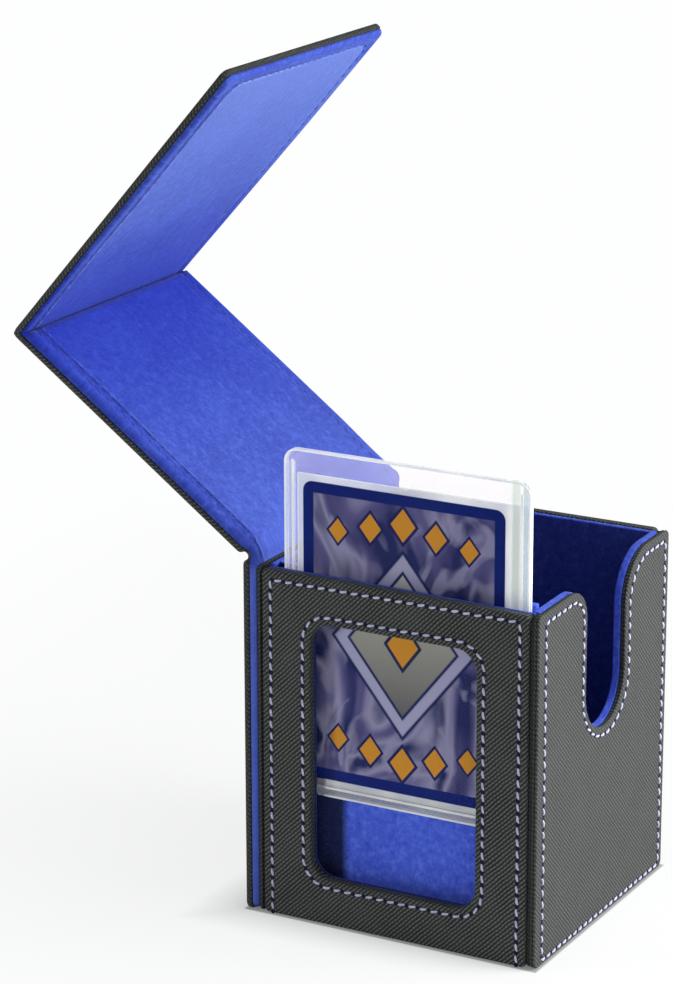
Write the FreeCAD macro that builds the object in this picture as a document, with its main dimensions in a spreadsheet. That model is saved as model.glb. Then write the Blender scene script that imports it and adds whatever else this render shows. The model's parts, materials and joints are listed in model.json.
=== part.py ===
import FreeCAD, Part
import Sketcher
import math
import os

os.makedirs("parts", exist_ok=True)
doc = FreeCAD.newDocument("card_case")

# Driving dimensions in millimetres and degrees; the last rows are worked out from the card outwards
DIMENSIONS = [
    ("case_depth", 86.0, "outside of the case body from front to back"),
    ("case_height", 104.5, "top edge of all four walls"),
    ("left_slab", 1.9, "thickness of the left side slab, leather and board"),
    ("right_slab", 2.8, "thickness of the right side slab, leather and board"),
    ("slab_leather", 0.8, "leather wrapped round the side slabs"),
    ("slab_corner", 2.5, "corner radius of the side slabs"),
    ("side_lining", 1.3, "suede on the inside of the side slabs"),
    ("wall_leather", 1.0, "leather of the front and back walls"),
    ("wall_board", 1.8, "board of the front and back walls"),
    ("wall_lining", 1.2, "suede on the inside of the front and back walls"),
    ("wall_corner", 1.5, "corner radius of the front and back walls"),
    ("base_leather", 0.7, "leather under the base"),
    ("base_board", 0.8, "board of the base"),
    ("base_lining", 0.5, "suede on the floor of the case"),
    ("window_centre", -0.6, "middle of the window across the front"),
    ("window_width", 52.0, "clear width of the window"),
    ("window_bottom", 13.9, "lower edge of the window"),
    ("window_top", 90.3, "upper edge of the window"),
    ("window_corner", 6.5, "corner radius of the window"),
    ("pane_thickness", 0.3, "clear pane behind the window"),
    ("pane_margin", 3.0, "how far the pane reaches past the window"),
    ("pane_corner", 2.0, "corner radius of the pane"),
    ("notch_centre", 1.45, "middle of the finger notch from front to back"),
    ("notch_width", 27.1, "width of the finger notch"),
    ("notch_bottom", 56.5, "lowest point of the finger notch"),
    ("notch_front_shoulder", 8.8, "rounded shoulder in front of the notch"),
    ("notch_back_shoulder", 15.0, "rounded shoulder behind the notch"),
    ("pocket_gap", 2.3, "width of the display pocket behind the front wall"),
    ("divider_board", 1.2, "board inside the divider"),
    ("divider_suede", 0.6, "suede folded over the divider board"),
    ("cover_overhang", 1.2, "how far the cover reaches past the case at the front and at the back"),
    ("cover_leather", 1.0, "leather outside of the cover"),
    ("cover_board", 1.2, "board inside the cover"),
    ("cover_suede", 1.0, "suede inside of the cover"),
    ("cover_corner", 2.5, "rounded corners of the cover panels"),
    ("suede_inset", 0.4, "suede edge set back from the leather edge"),
    ("suede_roll", 0.8, "rounding of the rolled suede edge"),
    ("leather_round", 0.4, "rounding of the leather's outer edges"),
    ("board_inset", 1.5, "cover board set back from the leather edge"),
    ("fold_gap", 0.5, "air between the shut cover and the case"),
    ("flap_length", 107.0, "flap from the fold's outer corner to its free edge"),
    ("lid_angle", 143.9, "lid above the +X direction as it stands open"),
    ("flap_angle", 48.25, "flap above the +X direction as it stands open"),
    ("crease_reach", 4.5, "hinge line to the nearest board edge"),
    ("crease_suede", 0.6, "thin suede over the hinge crease"),
    ("crease_gap", 0.3, "air between the two strips of the crease"),
    ("mitre_lip", 0.1, "thickness left at a mitred strip's tip"),
    ("fold_reach", 4.2, "fold's outer corner to the panel edges beside it"),
    ("fold_trim", 9.0, "angle left free at each side of the fold strip"),
    ("magnet_radius", 4.0, "magnets in the slab and in the flap"),
    ("slab_magnet", 1.6, "thickness of the slab magnets"),
    ("flap_magnet", 0.8, "thickness of the flap magnets"),
    ("magnet_height", 20.0, "magnets above the table with the cover shut"),
    ("magnet_spacing", 52.0, "distance between the two magnets of a pair"),
    ("toploader_left_gap", 3.0, "left lining to the toploader"),
    ("toploader_right_gap", 1.1, "toploader to the right lining"),
    ("toploader_height", 101.6, "toploader from bottom to top"),
    ("toploader_lift", 37.4, "toploader's bottom edge above the table"),
    ("toploader_corner", 4.0, "corner radius of the toploader"),
    ("toploader_sheet", 0.45, "each clear sheet of the toploader"),
    ("toploader_slot", 0.9, "room between the two sheets"),
    ("toploader_edge", 3.0, "width of the welded edge"),
    ("sleeve_left_gap", 0.9, "toploader's welded edge to the penny sleeve on the left"),
    ("sleeve_right_gap", 2.9, "penny sleeve to the toploader's welded edge on the right"),
    ("sleeve_height", 91.9, "penny sleeve from bottom to top"),
    ("sleeve_film", 0.1, "film of the penny sleeve"),
    ("sleeve_seam", 1.2, "side seams of the penny sleeve"),
    ("sleeve_bottom_seam", 1.9, "bottom seam of the penny sleeve"),
    ("card_side_gap", 0.5, "sleeve's side seam to the card"),
    ("card_width", 63.0, "card across"),
    ("card_height", 88.0, "card from bottom to top"),
    ("card_thickness", 0.32, "card stock"),
    ("card_corner", 3.0, "corner radius of the card"),
    ("card_clearance", 0.04, "air between card and sleeve film"),
    ("sleeve_width", "=card_width + (card_side_gap + sleeve_seam) * 2", "penny sleeve across"),
    ("toploader_width", "=sleeve_width + sleeve_left_gap + sleeve_right_gap + toploader_edge * 2",
     "toploader across"),
    ("case_width", "=toploader_width + toploader_left_gap + toploader_right_gap + side_lining * 2"
     " + left_slab + right_slab", "outside of the case body across the two side slabs"),
]

sheet = doc.addObject("Spreadsheet::Sheet", "sizes")
for row, (alias, number, meaning) in enumerate(DIMENSIONS, start=1):
    sheet.set("A%d" % row, alias)
    sheet.set("B%d" % row, str(number))
    sheet.set("C%d" % row, meaning)
    sheet.setAlias("B%d" % row, alias)
doc.recompute()


class Size:
    """A length or an angle that keeps its number and its sheet formula together."""

    def __init__(self, number, formula):
        self.number = number
        self.formula = formula

    def joined(self, sign, other, number):
        text = other.formula if isinstance(other, Size) else str(other)
        return Size(number, "(%s %s %s)" % (self.formula, sign, text))

    def __add__(self, other):
        return self.joined("+", other, self.number + plain(other))

    def __sub__(self, other):
        return self.joined("-", other, self.number - plain(other))

    def __mul__(self, other):
        return self.joined("*", other, self.number * plain(other))

    def __truediv__(self, other):
        return self.joined("/", other, self.number / plain(other))

    def __neg__(self):
        return Size(-self.number, "(0 - %s)" % self.formula)


def plain(value):
    return value.number if isinstance(value, Size) else value


def of_angle(name, angle):
    number = getattr(math, name)(math.radians(angle.number))
    return Size(number, "%s(%s * 1 deg)" % (name, angle.formula))


class Sheet:
    """The driving dimensions by name."""

    def __getattr__(self, alias):
        return Size(float(getattr(sheet, alias)), "sizes." + alias)


s = Sheet()
zero = Size(0.0, "0")


def bind(target, path, size):
    target.setExpression(path, size.formula)


# Places worked out from the driving dimensions
left_face = -s.case_width / 2
right_face = s.case_width / 2
front_face = -s.case_depth / 2
back_face = s.case_depth / 2
slab_left_inside = left_face + s.left_slab
slab_right_inside = right_face - s.right_slab
room_left = slab_left_inside + s.side_lining
room_right = slab_right_inside - s.side_lining
wall_shell = s.wall_leather + s.wall_board
room_front = front_face + wall_shell + s.wall_lining
room_back = back_face - wall_shell - s.wall_lining
floor = s.base_leather + s.base_board + s.base_lining
divider_total = s.divider_board + s.divider_suede * 2
divider_front = room_front + s.pocket_gap
divider_back = divider_front + divider_total
window_left = s.window_centre - s.window_width / 2
window_right = s.window_centre + s.window_width / 2
notch_front = s.notch_centre - s.notch_width / 2
notch_back = s.notch_centre + s.notch_width / 2

cover_total = s.cover_leather + s.cover_board + s.cover_suede
cover_edge = back_face + s.cover_overhang
hinge_x = left_face - cover_total
hinge_z = s.case_height + s.fold_gap + cover_total
lid_length = s.case_width + cover_total * 2 + s.fold_gap
fold_x = hinge_x + lid_length * of_angle("cos", s.lid_angle)
fold_z = hinge_z + lid_length * of_angle("sin", s.lid_angle)
fold_half_angle = Size(90.0, "90") - (s.lid_angle - s.flap_angle) / 2
fold_radius = s.fold_reach * of_angle("tan", fold_half_angle)


# Flat outlines: a loop of level and upright sides with rounded corners between them
class Side:
    """One straight side of an outline, at x or at y, with the radius of the corner after it."""

    def __init__(self, along, at, radius=None):
        self.upright = along == "x"
        self.at = at
        self.radius = radius


class Turn:
    """A half-round end between two upright sides, with its lowest point at a height."""

    def __init__(self, lowest):
        self.lowest = lowest


def new_sketch(body, plane, offset):
    sketch = body.newObject("Sketcher::SketchObject", body.Name + "_sketch")
    origin_plane = [item for item in body.Origin.OriginFeatures if item.Role == plane][0]
    sketch.AttachmentSupport = [(origin_plane, "")]
    sketch.MapMode = "FlatFace"
    bind(sketch, "AttachmentOffset.Base.z", offset)
    return sketch


def hold(sketch, size, *constraint):
    index = sketch.addConstraint(Sketcher.Constraint(*constraint, size.number))
    sketch.renameConstraint(index, "held_%d" % index)
    bind(sketch, "Constraints.held_%d" % index, size)


def corner_between(side, other):
    upright, level = (side, other) if side.upright else (other, side)
    return FreeCAD.Vector(upright.at.number, level.at.number, 0)


def draw_arc(sketch, start, centre, end, radius):
    """Adds an arc from start to end, and gives its index and which of its ends comes first."""
    first = math.atan2(start.y - centre.y, start.x - centre.x)
    last = math.atan2(end.y - centre.y, end.x - centre.x)
    turning = (start - centre).cross(end - centre).z
    leftwards = turning > 0
    if not leftwards:
        first, last = last, first
    if last < first:
        last += 2 * math.pi
    circle = Part.Circle(centre, FreeCAD.Vector(0, 0, 1), radius)
    index = sketch.addGeometry(Part.ArcOfCircle(circle, first, last))
    return index, (1, 2) if leftwards else (2, 1)


def draw_outline(sketch, loop):
    """Draws one closed loop of Side and Turn items and holds every part of it by its size."""
    sides = [item for item in loop if isinstance(item, Side)]
    turn_after = {}
    for position, item in enumerate(loop):
        if isinstance(item, Turn):
            turn_after[loop[position - 1]] = item
    count = len(sides)
    starts, ends, joints = {}, {}, []
    for index, side in enumerate(sides):
        following = sides[(index + 1) % count]
        if side in turn_after:
            lowest = turn_after[side].lowest
            radius = abs(side.at.number - following.at.number) / 2
            height = lowest.number + radius
            ends[side] = FreeCAD.Vector(side.at.number, height, 0)
            starts[following] = FreeCAD.Vector(following.at.number, height, 0)
            joints.append((side, following, None))
        else:
            corner = corner_between(side, following)
            ends[side] = starts[following] = corner
            joints.append((side, following, side.radius))
    directions = {side: (ends[side] - starts[side]).normalize() for side in sides}
    arcs = {}
    for side, following, radius in joints:
        if radius is None or side in turn_after:
            continue
        reach = radius.number
        corner = ends[side]
        first_point = corner - directions[side] * reach
        last_point = corner + directions[following] * reach
        centre = first_point + directions[following] * reach
        ends[side] = first_point
        starts[following] = last_point
        arcs[side] = (first_point, centre, last_point, reach)
    lines = {}
    for side in sides:
        lines[side] = sketch.addGeometry(Part.LineSegment(starts[side], ends[side]))
        sketch.addConstraint(Sketcher.Constraint("Vertical" if side.upright else "Horizontal", lines[side]))
        hold(sketch, side.at, "DistanceX" if side.upright else "DistanceY", -1, 1, lines[side], 1)
    for side, following, radius in joints:
        if side in turn_after:
            lowest = turn_after[side].lowest
            half = (side.at - following.at) / 2
            if half.number < 0:
                half = -half
            middle = FreeCAD.Vector((side.at.number + following.at.number) / 2, ends[side].y, 0)
            circle = Part.Circle(middle, FreeCAD.Vector(0, 0, 1), half.number)
            arc = sketch.addGeometry(Part.ArcOfCircle(circle, math.pi, 2 * math.pi))
            first, last = (1, 2) if side.at.number < following.at.number else (2, 1)
            sketch.addConstraint(Sketcher.Constraint("Tangent", lines[side], 2, arc, first))
            sketch.addConstraint(Sketcher.Constraint("Tangent", arc, last, lines[following], 1))
            hold(sketch, lowest + half, "DistanceY", -1, 1, arc, 3)
        elif radius is None:
            sketch.addConstraint(Sketcher.Constraint("Coincident", lines[side], 2, lines[following], 1))
        else:
            arc, (first, last) = draw_arc(sketch, *arcs[side])
            sketch.addConstraint(Sketcher.Constraint("Tangent", lines[side], 2, arc, first))
            sketch.addConstraint(Sketcher.Constraint("Tangent", arc, last, lines[following], 1))
            hold(sketch, radius, "Radius", arc)


def rectangle(left, right, bottom, top, radius=None):
    return [Side("y", bottom, radius), Side("x", right, radius), Side("y", top, radius), Side("x", left, radius)]


def pad(body, plane, offset, thickness, *loops):
    """Adds a plate to a body: the outline drawn on a plane at an offset, thickened along the plane's normal."""
    sketch = new_sketch(body, plane, offset)
    for loop in loops:
        draw_outline(sketch, loop)
    feature = body.newObject("PartDesign::Pad", body.Name + "_pad")
    feature.Profile = sketch
    bind(feature, "Length", thickness)
    body.Tip = feature
    return feature


def new_body(label):
    body = doc.addObject("PartDesign::Body", label)
    body.Label = label
    return body


def plate(label, plane, offset, thickness, *loops):
    body = new_body(label)
    pad(body, plane, offset, thickness, *loops)
    return body


def round_edges(body, radius, chosen):
    """Rounds the edges of the body's last feature that the test picks."""
    doc.recompute()
    base = body.Tip
    names = ["Edge%d" % (n + 1) for n, edge in enumerate(base.Shape.Edges) if chosen(edge.BoundBox, edge)]
    feature = body.newObject("PartDesign::Fillet", body.Name + "_round")
    feature.Base = (base, names)
    bind(feature, "Radius", radius)
    body.Tip = feature


def cut(label, base, tool):
    result = doc.addObject("Part::Cut", label)
    result.Label = label
    result.Base = base
    result.Tool = tool
    return result


def near(value, size):
    return abs(value - size.number) < 0.001


pieces = []


def keep(*objects):
    pieces.extend(objects)


# Front and back walls: leather over a board, suede on the inside
def wall_outline(inset, bottom, radius):
    return rectangle(slab_left_inside + inset, slab_right_inside - inset, bottom,
                     s.case_height - inset, radius)


def window_outline(reach, radius):
    return rectangle(window_left - reach, window_right + reach, s.window_bottom - reach,
                     s.window_top + reach, radius)


def wall(name, inner_of_shell, inner_of_lining, face, board_offset, with_window):
    holes = [window_outline(zero, s.window_corner)] if with_window else []
    board_holes = [window_outline(s.wall_leather, s.window_corner + s.wall_leather)] if with_window else []
    blank = plate(name + "_blank", "XZ_Plane", -inner_of_shell, wall_shell,
                  wall_outline(zero, zero, s.wall_corner), *holes)
    round_edges(blank, s.leather_round, lambda box, edge: near(box.YMin, face) and near(box.YMax, face))
    board = plate(name + "_board", "XZ_Plane", board_offset, s.wall_board,
                  wall_outline(s.wall_leather, s.wall_leather, None), *board_holes)
    lining = plate(name + "_lining", "XZ_Plane", -inner_of_lining, s.wall_lining,
                   wall_outline(zero, zero, None), *holes)
    leather = cut(name + "_leather", blank, board)
    keep(leather, board, lining)
    return lining


def front_wall():
    inner = front_face + wall_shell
    lining = wall("front", inner, room_front, front_face, -inner, True)
    recess = new_sketch(lining, "XZ_Plane", -inner)
    draw_outline(recess, window_outline(s.pane_margin, s.pane_corner))
    pocket = lining.newObject("PartDesign::Pocket", "pane_recess")
    pocket.Profile = recess
    bind(pocket, "Length", s.pane_thickness)
    lining.Tip = pocket
    keep(plate("window_pane", "XZ_Plane", -(inner + s.pane_thickness), s.pane_thickness,
               window_outline(s.pane_margin, s.pane_corner)))


def back_wall():
    inner = back_face - wall_shell
    wall("back", back_face, inner, back_face, -(inner + s.wall_board), False)


# Base between the front and back walls
def base():
    outline = rectangle(slab_left_inside, slab_right_inside, room_front, room_back)
    keep(plate("base_leather", "XY_Plane", zero, s.base_leather, outline),
         plate("base_board", "XY_Plane", s.base_leather, s.base_board, outline),
         plate("base_lining", "XY_Plane", s.base_leather + s.base_board, s.base_lining, outline))


# Side slabs: a board wrapped in leather, suede on the inside
def slab_outline(front, back, bottom, top, radius, inset, notched):
    if not notched:
        return rectangle(front, back, bottom, top, radius)
    return [Side("y", bottom, radius), Side("x", back, radius),
            Side("y", top, s.notch_back_shoulder - inset), Side("x", notch_back + inset),
            Turn(s.notch_bottom - inset),
            Side("x", notch_front - inset, s.notch_front_shoulder - inset),
            Side("y", top, radius), Side("x", front, radius)]


def slab(name, outer, blank_offset, board_offset, lining_offset, thickness, notched):
    blank = plate(name + "_slab_blank", "YZ_Plane", blank_offset, thickness,
                  slab_outline(front_face, back_face, zero, s.case_height, s.slab_corner, zero, notched))
    round_edges(blank, s.leather_round, lambda box, edge: near(box.XMin, outer) and near(box.XMax, outer))
    inset = s.slab_leather
    board = plate(name + "_slab_board", "YZ_Plane", board_offset, thickness - s.slab_leather,
                  slab_outline(front_face + inset, back_face - inset, inset, s.case_height - inset,
                               s.slab_corner - inset, inset, notched))
    lining = plate(name + "_lining", "YZ_Plane", lining_offset, s.side_lining,
                   slab_outline(room_front, room_back, floor, s.case_height, None, zero, notched))
    leather = cut(name + "_slab_leather", blank, board)
    keep(leather, lining)
    return board


def left_slab():
    keep(slab("left", left_face, left_face, left_face + s.slab_leather, slab_left_inside, s.left_slab, False))


def magnet_pair(label, place, turn, thickness):
    """Two discs side by side from front to back, with their axes along X before the turn."""
    discs = []
    for number, side in enumerate((-1, 1), start=1):
        disc = doc.addObject("Part::Cylinder", "%s_disc_%d" % (label, number))
        bind(disc, "Radius", s.magnet_radius)
        bind(disc, "Height", thickness)
        disc.Placement.Rotation = turn
        bind(disc, "Placement.Base.x", place[0])
        bind(disc, "Placement.Base.y", s.magnet_spacing / 2 * side)
        bind(disc, "Placement.Base.z", place[1])
        discs.append(disc)
    pair = doc.addObject("Part::Compound", label)
    pair.Label = label
    pair.Links = discs
    return pair


def right_slab():
    board_blank = slab("right", right_face, slab_right_inside, slab_right_inside, room_right, s.right_slab, True)
    turn = FreeCAD.Rotation(FreeCAD.Vector(0, 0, 1), FreeCAD.Vector(-1, 0, 0))
    magnets = magnet_pair("wall_magnets", (right_face - s.slab_leather, s.magnet_height), turn, s.slab_magnet)
    board_blank.Label = "right_slab_board_blank"
    board = cut("right_slab_board", board_blank, magnets)
    keep(magnets, board)


# Divider behind the display pocket: a board in a folded suede sleeve
def divider():
    top = s.case_height
    sleeve = plate("divider_blank", "XZ_Plane", -divider_back, divider_total,
                   rectangle(room_left, room_right, floor, top))
    board = plate("divider_board", "XZ_Plane", -(divider_back - s.divider_suede), s.divider_board,
                  rectangle(room_left, room_right, floor, top - s.divider_suede))
    keep(board, cut("divider_suede", sleeve, board))


# Cover panels, drawn flat: x runs away from the hinge line or the fold, y from front to back
def stand(target, x, z, angle):
    """Stands a flat panel up about an axis that runs from back to front."""
    target.Placement = FreeCAD.Placement(FreeCAD.Vector(), FreeCAD.Rotation(FreeCAD.Vector(0, -1, 0), 45))
    bind(target, "Placement.Base.x", x)
    bind(target, "Placement.Base.z", z)
    bind(target, "Placement.Rotation.Angle", angle)


def strip_outline(start, end, inset, far_radius=None):
    edge = cover_edge - inset
    return [Side("y", -edge, far_radius), Side("x", end, far_radius), Side("y", edge), Side("x", start)]


class Layers:
    """Places the layers of a panel: depth counts from the outer leather face towards the suede."""

    def __init__(self, suede_above):
        self.suede_above = suede_above

    def offset(self, depth, thickness):
        return depth if self.suede_above else -(depth + thickness)

    def level(self, depth):
        return depth if self.suede_above else -depth


def edges_at(edge_box, level):
    return near(edge_box.ZMin, level) and near(edge_box.ZMax, level)


def across(edge_box, x):
    return near(edge_box.XMin, x) and near(edge_box.XMax, x)


def mitre(body, size, tip, level):
    """Bevels a strip's tip at the hinge line, so that the shut lid meets the side panel at a mitre."""
    doc.recompute()
    base = body.Tip
    names = ["Edge%d" % (n + 1) for n, edge in enumerate(base.Shape.Edges)
             if edges_at(edge.BoundBox, level) and across(edge.BoundBox, tip)]
    feature = body.newObject("PartDesign::Chamfer", body.Name + "_mitre")
    feature.Base = (base, names)
    bind(feature, "Size", size)
    body.Tip = feature


def cover_panel(name, start, end, far_radius, suede_above, hinged, place):
    """One panel of leather, board and rolled suede. A hinged one has thin strips up to the hinge line."""
    layers = Layers(suede_above)
    leather_start = s.crease_gap if hinged else start
    leather = plate(name + "_leather", "XY_Plane", layers.offset(zero, s.cover_leather), s.cover_leather,
                    strip_outline(leather_start, end, zero, far_radius))
    if hinged:
        mitre(leather, s.cover_leather - s.mitre_lip, leather_start, layers.level(s.cover_leather))
    free_end = far_radius is not None
    round_edges(leather, s.leather_round, lambda box, edge: edges_at(box, zero)
                and not across(box, leather_start) and (free_end or not across(box, end)))

    suede_depth = s.cover_board + s.cover_suede
    suede_end = end - s.suede_inset if free_end else end
    suede_radius = far_radius - s.suede_inset if free_end else None
    blank = plate(name + "_suede_blank", "XY_Plane", layers.offset(s.cover_leather, suede_depth), suede_depth,
                  strip_outline(start, suede_end, s.suede_inset, suede_radius))
    if hinged:
        tip = s.crease_gap + s.cover_leather
        pad(blank, "XY_Plane", layers.offset(s.cover_leather, s.crease_suede), s.crease_suede,
            strip_outline(tip, start, s.suede_inset))
        mitre(blank, s.crease_suede - s.mitre_lip, tip, layers.level(s.cover_leather + s.crease_suede))
    round_edges(blank, s.suede_roll, lambda box, edge: edges_at(box, layers.level(cover_total)))

    rim = s.board_inset - s.suede_inset
    board = plate(name + "_board", "XY_Plane", layers.offset(s.cover_leather, s.cover_board), s.cover_board,
                  strip_outline(start + rim, suede_end - rim, s.board_inset))
    for body in (leather, blank, board):
        stand(body, *place)
    suede = cut(name + "_suede", blank, board)
    keep(leather, suede)
    return board


def cover_side():
    board = cover_panel("cover_side", s.crease_reach, hinge_z, s.cover_corner, True, True,
                        (hinge_x, hinge_z, Size(-90.0, "-90")))
    keep(board)


def lid():
    board = cover_panel("lid", s.crease_reach, lid_length - s.fold_reach, None, False, True,
                        (hinge_x, hinge_z, s.lid_angle))
    keep(board)


def flap():
    blank = cover_panel("flap", s.fold_reach, s.flap_length, s.cover_corner, False, False,
                        (fold_x, fold_z, s.flap_angle))
    blank.Label = "flap_board_blank"
    along = hinge_z - s.magnet_height
    across_x = of_angle("cos", s.flap_angle)
    across_z = of_angle("sin", s.flap_angle)
    place = (fold_x + along * across_x + s.cover_leather * across_z,
             fold_z + along * across_z - s.cover_leather * across_x)
    turn = FreeCAD.Rotation(FreeCAD.Vector(0, -1, 0), 45)
    magnets = magnet_pair("flap_magnets", place, turn, s.flap_magnet)
    for disc in magnets.Links:
        bind(disc, "Placement.Rotation.Angle", s.flap_angle + 180)
    keep(magnets, cut("flap_board", blank, magnets))


# Fold strip between lid and flap: leather outside and suede inside, bent round one axis
def ring_sector(label, outer, thickness):
    turned = s.lid_angle - s.flap_angle - s.fold_trim * 2
    rings = []
    for name, radius in (("outer", outer), ("inner", outer - thickness)):
        ring = doc.addObject("Part::Cylinder", "%s_%s" % (label, name))
        bind(ring, "Radius", radius)
        bind(ring, "Height", cover_edge * 2)
        bind(ring, "Angle", turned)
        ring.Placement.Rotation = FreeCAD.Rotation(FreeCAD.Vector(1, 0, 0), 90)
        rings.append(ring)
    sector = cut(label, *rings)
    stand(sector, arc_centre_x, arc_centre_z, s.flap_angle + s.fold_trim + 90)
    bind(sector, "Placement.Base.y", cover_edge)
    return sector


arc_centre_x = fold_x - s.fold_reach * of_angle("cos", s.lid_angle) + fold_radius * of_angle("sin", s.lid_angle)
arc_centre_z = fold_z - s.fold_reach * of_angle("sin", s.lid_angle) - fold_radius * of_angle("cos", s.lid_angle)


def fold_strip():
    keep(ring_sector("fold_leather", fold_radius, s.cover_leather),
         ring_sector("fold_suede", fold_radius - s.cover_leather, s.cover_suede))


# Toploader, standing raised in the display pocket
toploader_total = s.toploader_sheet * 2 + s.toploader_slot
toploader_front = room_front + (s.pocket_gap - toploader_total) / 2
toploader_left = room_left + s.toploader_left_gap
toploader_right = room_right - s.toploader_right_gap
toploader_top = s.toploader_lift + s.toploader_height
seat = s.toploader_lift + s.toploader_edge


def upright_plate(label, front, thickness, *loops):
    return plate(label, "XZ_Plane", -(front + thickness), thickness, *loops)


def toploader():
    outline = rectangle(toploader_left, toploader_right, s.toploader_lift, toploader_top, s.toploader_corner)
    keep(upright_plate("toploader_front_sheet", toploader_front, s.toploader_sheet, outline),
         upright_plate("toploader_back_sheet", toploader_front + s.toploader_sheet + s.toploader_slot,
                       s.toploader_sheet, outline))
    shoulder = toploader_top - s.toploader_corner
    edge = [Side("y", s.toploader_lift, s.toploader_corner), Side("x", toploader_right),
            Side("y", shoulder), Side("x", toploader_right - s.toploader_edge), Side("y", seat),
            Side("x", toploader_left + s.toploader_edge), Side("y", shoulder),
            Side("x", toploader_left, s.toploader_corner)]
    keep(upright_plate("toploader_edge", toploader_front + s.toploader_sheet, s.toploader_slot, edge))


def penny_sleeve_and_card():
    half = s.sleeve_width / 2
    middle = toploader_left + s.toploader_edge + s.sleeve_left_gap + half
    room = s.card_thickness + s.card_clearance
    sleeve_total = room + s.sleeve_film * 2
    sleeve_front = toploader_front + s.toploader_sheet + (s.toploader_slot - sleeve_total) / 2
    blank = upright_plate("sleeve_blank", sleeve_front, sleeve_total,
                          rectangle(middle - half, middle + half, seat, seat + s.sleeve_height))
    inner = half - s.sleeve_seam
    card_bottom = seat + s.sleeve_bottom_seam
    cavity = upright_plate("sleeve_cavity", sleeve_front + s.sleeve_film, room,
                           rectangle(middle - inner, middle + inner, card_bottom, seat + s.sleeve_height * 2))
    reach = s.card_width / 2
    card_front = sleeve_front + s.sleeve_film + s.card_clearance / 2
    keep(cut("penny_sleeve", blank, cavity),
         upright_plate("card", card_front, s.card_thickness,
                       rectangle(middle - reach, middle + reach, card_bottom, card_bottom + s.card_height,
                                 s.card_corner)))


front_wall()
back_wall()
base()
left_slab()
right_slab()
divider()
cover_side()
lid()
flap()
fold_strip()
toploader()
penny_sleeve_and_card()
doc.recompute()

# Nothing is written unless every object is sound
for item in doc.Objects:
    if "Invalid" in item.State or "Error" in item.State:
        raise RuntimeError("%s is %s" % (item.Label, item.State))
for piece in pieces:
    shape = piece.Shape
    if shape.isNull() or not shape.isValid() or shape.Volume <= 0:
        raise RuntimeError("%s has no sound shape" % piece.Label)
for piece in pieces:
    piece.Shape.exportStep("parts/%s.step" % piece.Label)
    print("%-24s solids %d  volume %.1f" % (piece.Label, len(piece.Shape.Solids), piece.Shape.Volume))
print("pieces", len(pieces))
print("hinge at %.3f %.3f" % (hinge_x.number, hinge_z.number))
print("fold corner at %.3f %.3f, strip radius %.3f" % (fold_x.number, fold_z.number, fold_radius.number))
print("fold strip centre at %.3f %.3f" % (arc_centre_x.number, arc_centre_z.number))
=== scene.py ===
import bpy
import bmesh
import json
import math
from mathutils import Matrix, Vector, noise


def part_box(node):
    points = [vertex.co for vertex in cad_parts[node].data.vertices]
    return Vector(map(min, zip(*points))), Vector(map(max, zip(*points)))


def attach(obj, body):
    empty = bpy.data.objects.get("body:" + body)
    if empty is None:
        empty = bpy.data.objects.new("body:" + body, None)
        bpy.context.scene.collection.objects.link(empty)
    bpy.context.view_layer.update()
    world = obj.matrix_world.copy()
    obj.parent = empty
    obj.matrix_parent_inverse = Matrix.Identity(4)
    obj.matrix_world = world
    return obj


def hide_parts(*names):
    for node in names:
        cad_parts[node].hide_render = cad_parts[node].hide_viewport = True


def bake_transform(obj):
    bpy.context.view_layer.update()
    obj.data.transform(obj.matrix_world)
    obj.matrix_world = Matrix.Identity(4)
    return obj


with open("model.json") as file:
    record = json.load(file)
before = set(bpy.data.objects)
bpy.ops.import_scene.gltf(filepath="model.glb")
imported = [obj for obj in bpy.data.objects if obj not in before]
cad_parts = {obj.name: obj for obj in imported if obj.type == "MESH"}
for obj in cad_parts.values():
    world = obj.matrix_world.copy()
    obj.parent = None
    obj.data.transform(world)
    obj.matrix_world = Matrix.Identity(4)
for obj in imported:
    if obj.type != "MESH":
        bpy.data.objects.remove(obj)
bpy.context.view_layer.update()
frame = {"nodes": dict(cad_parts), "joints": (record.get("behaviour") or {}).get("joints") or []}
mm = 0.001
uvSpan = 100.0  # millimetres of cloth to one UV unit
print("frame loaded,", len(frame["nodes"]), "nodes")


# what the frame says, in millimetres
def nodeBox(name):
    low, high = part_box(name)
    return low / mm, high / mm


frontLow, frontHigh = nodeBox("front_leather")
slabLow, slabHigh = nodeBox("right_slab_leather")
leftLow, leftHigh = nodeBox("left_slab_leather")
backLow, backHigh = nodeBox("back_leather")
caseTop = frontHigh.z
lidHinge = next(joint for joint in frame["joints"] if joint["name"] == "lid_hinge")
hingeLine = Vector(lidHinge["pos_m"]) / mm


# materials
def toned(color, times):
    return tuple(min(1.0, c * times) for c in color)


def opaque(color):
    # a plain colour as a socket takes it; another node's output goes through as it is
    return (*color, 1.0) if isinstance(color, tuple) else color


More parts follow.
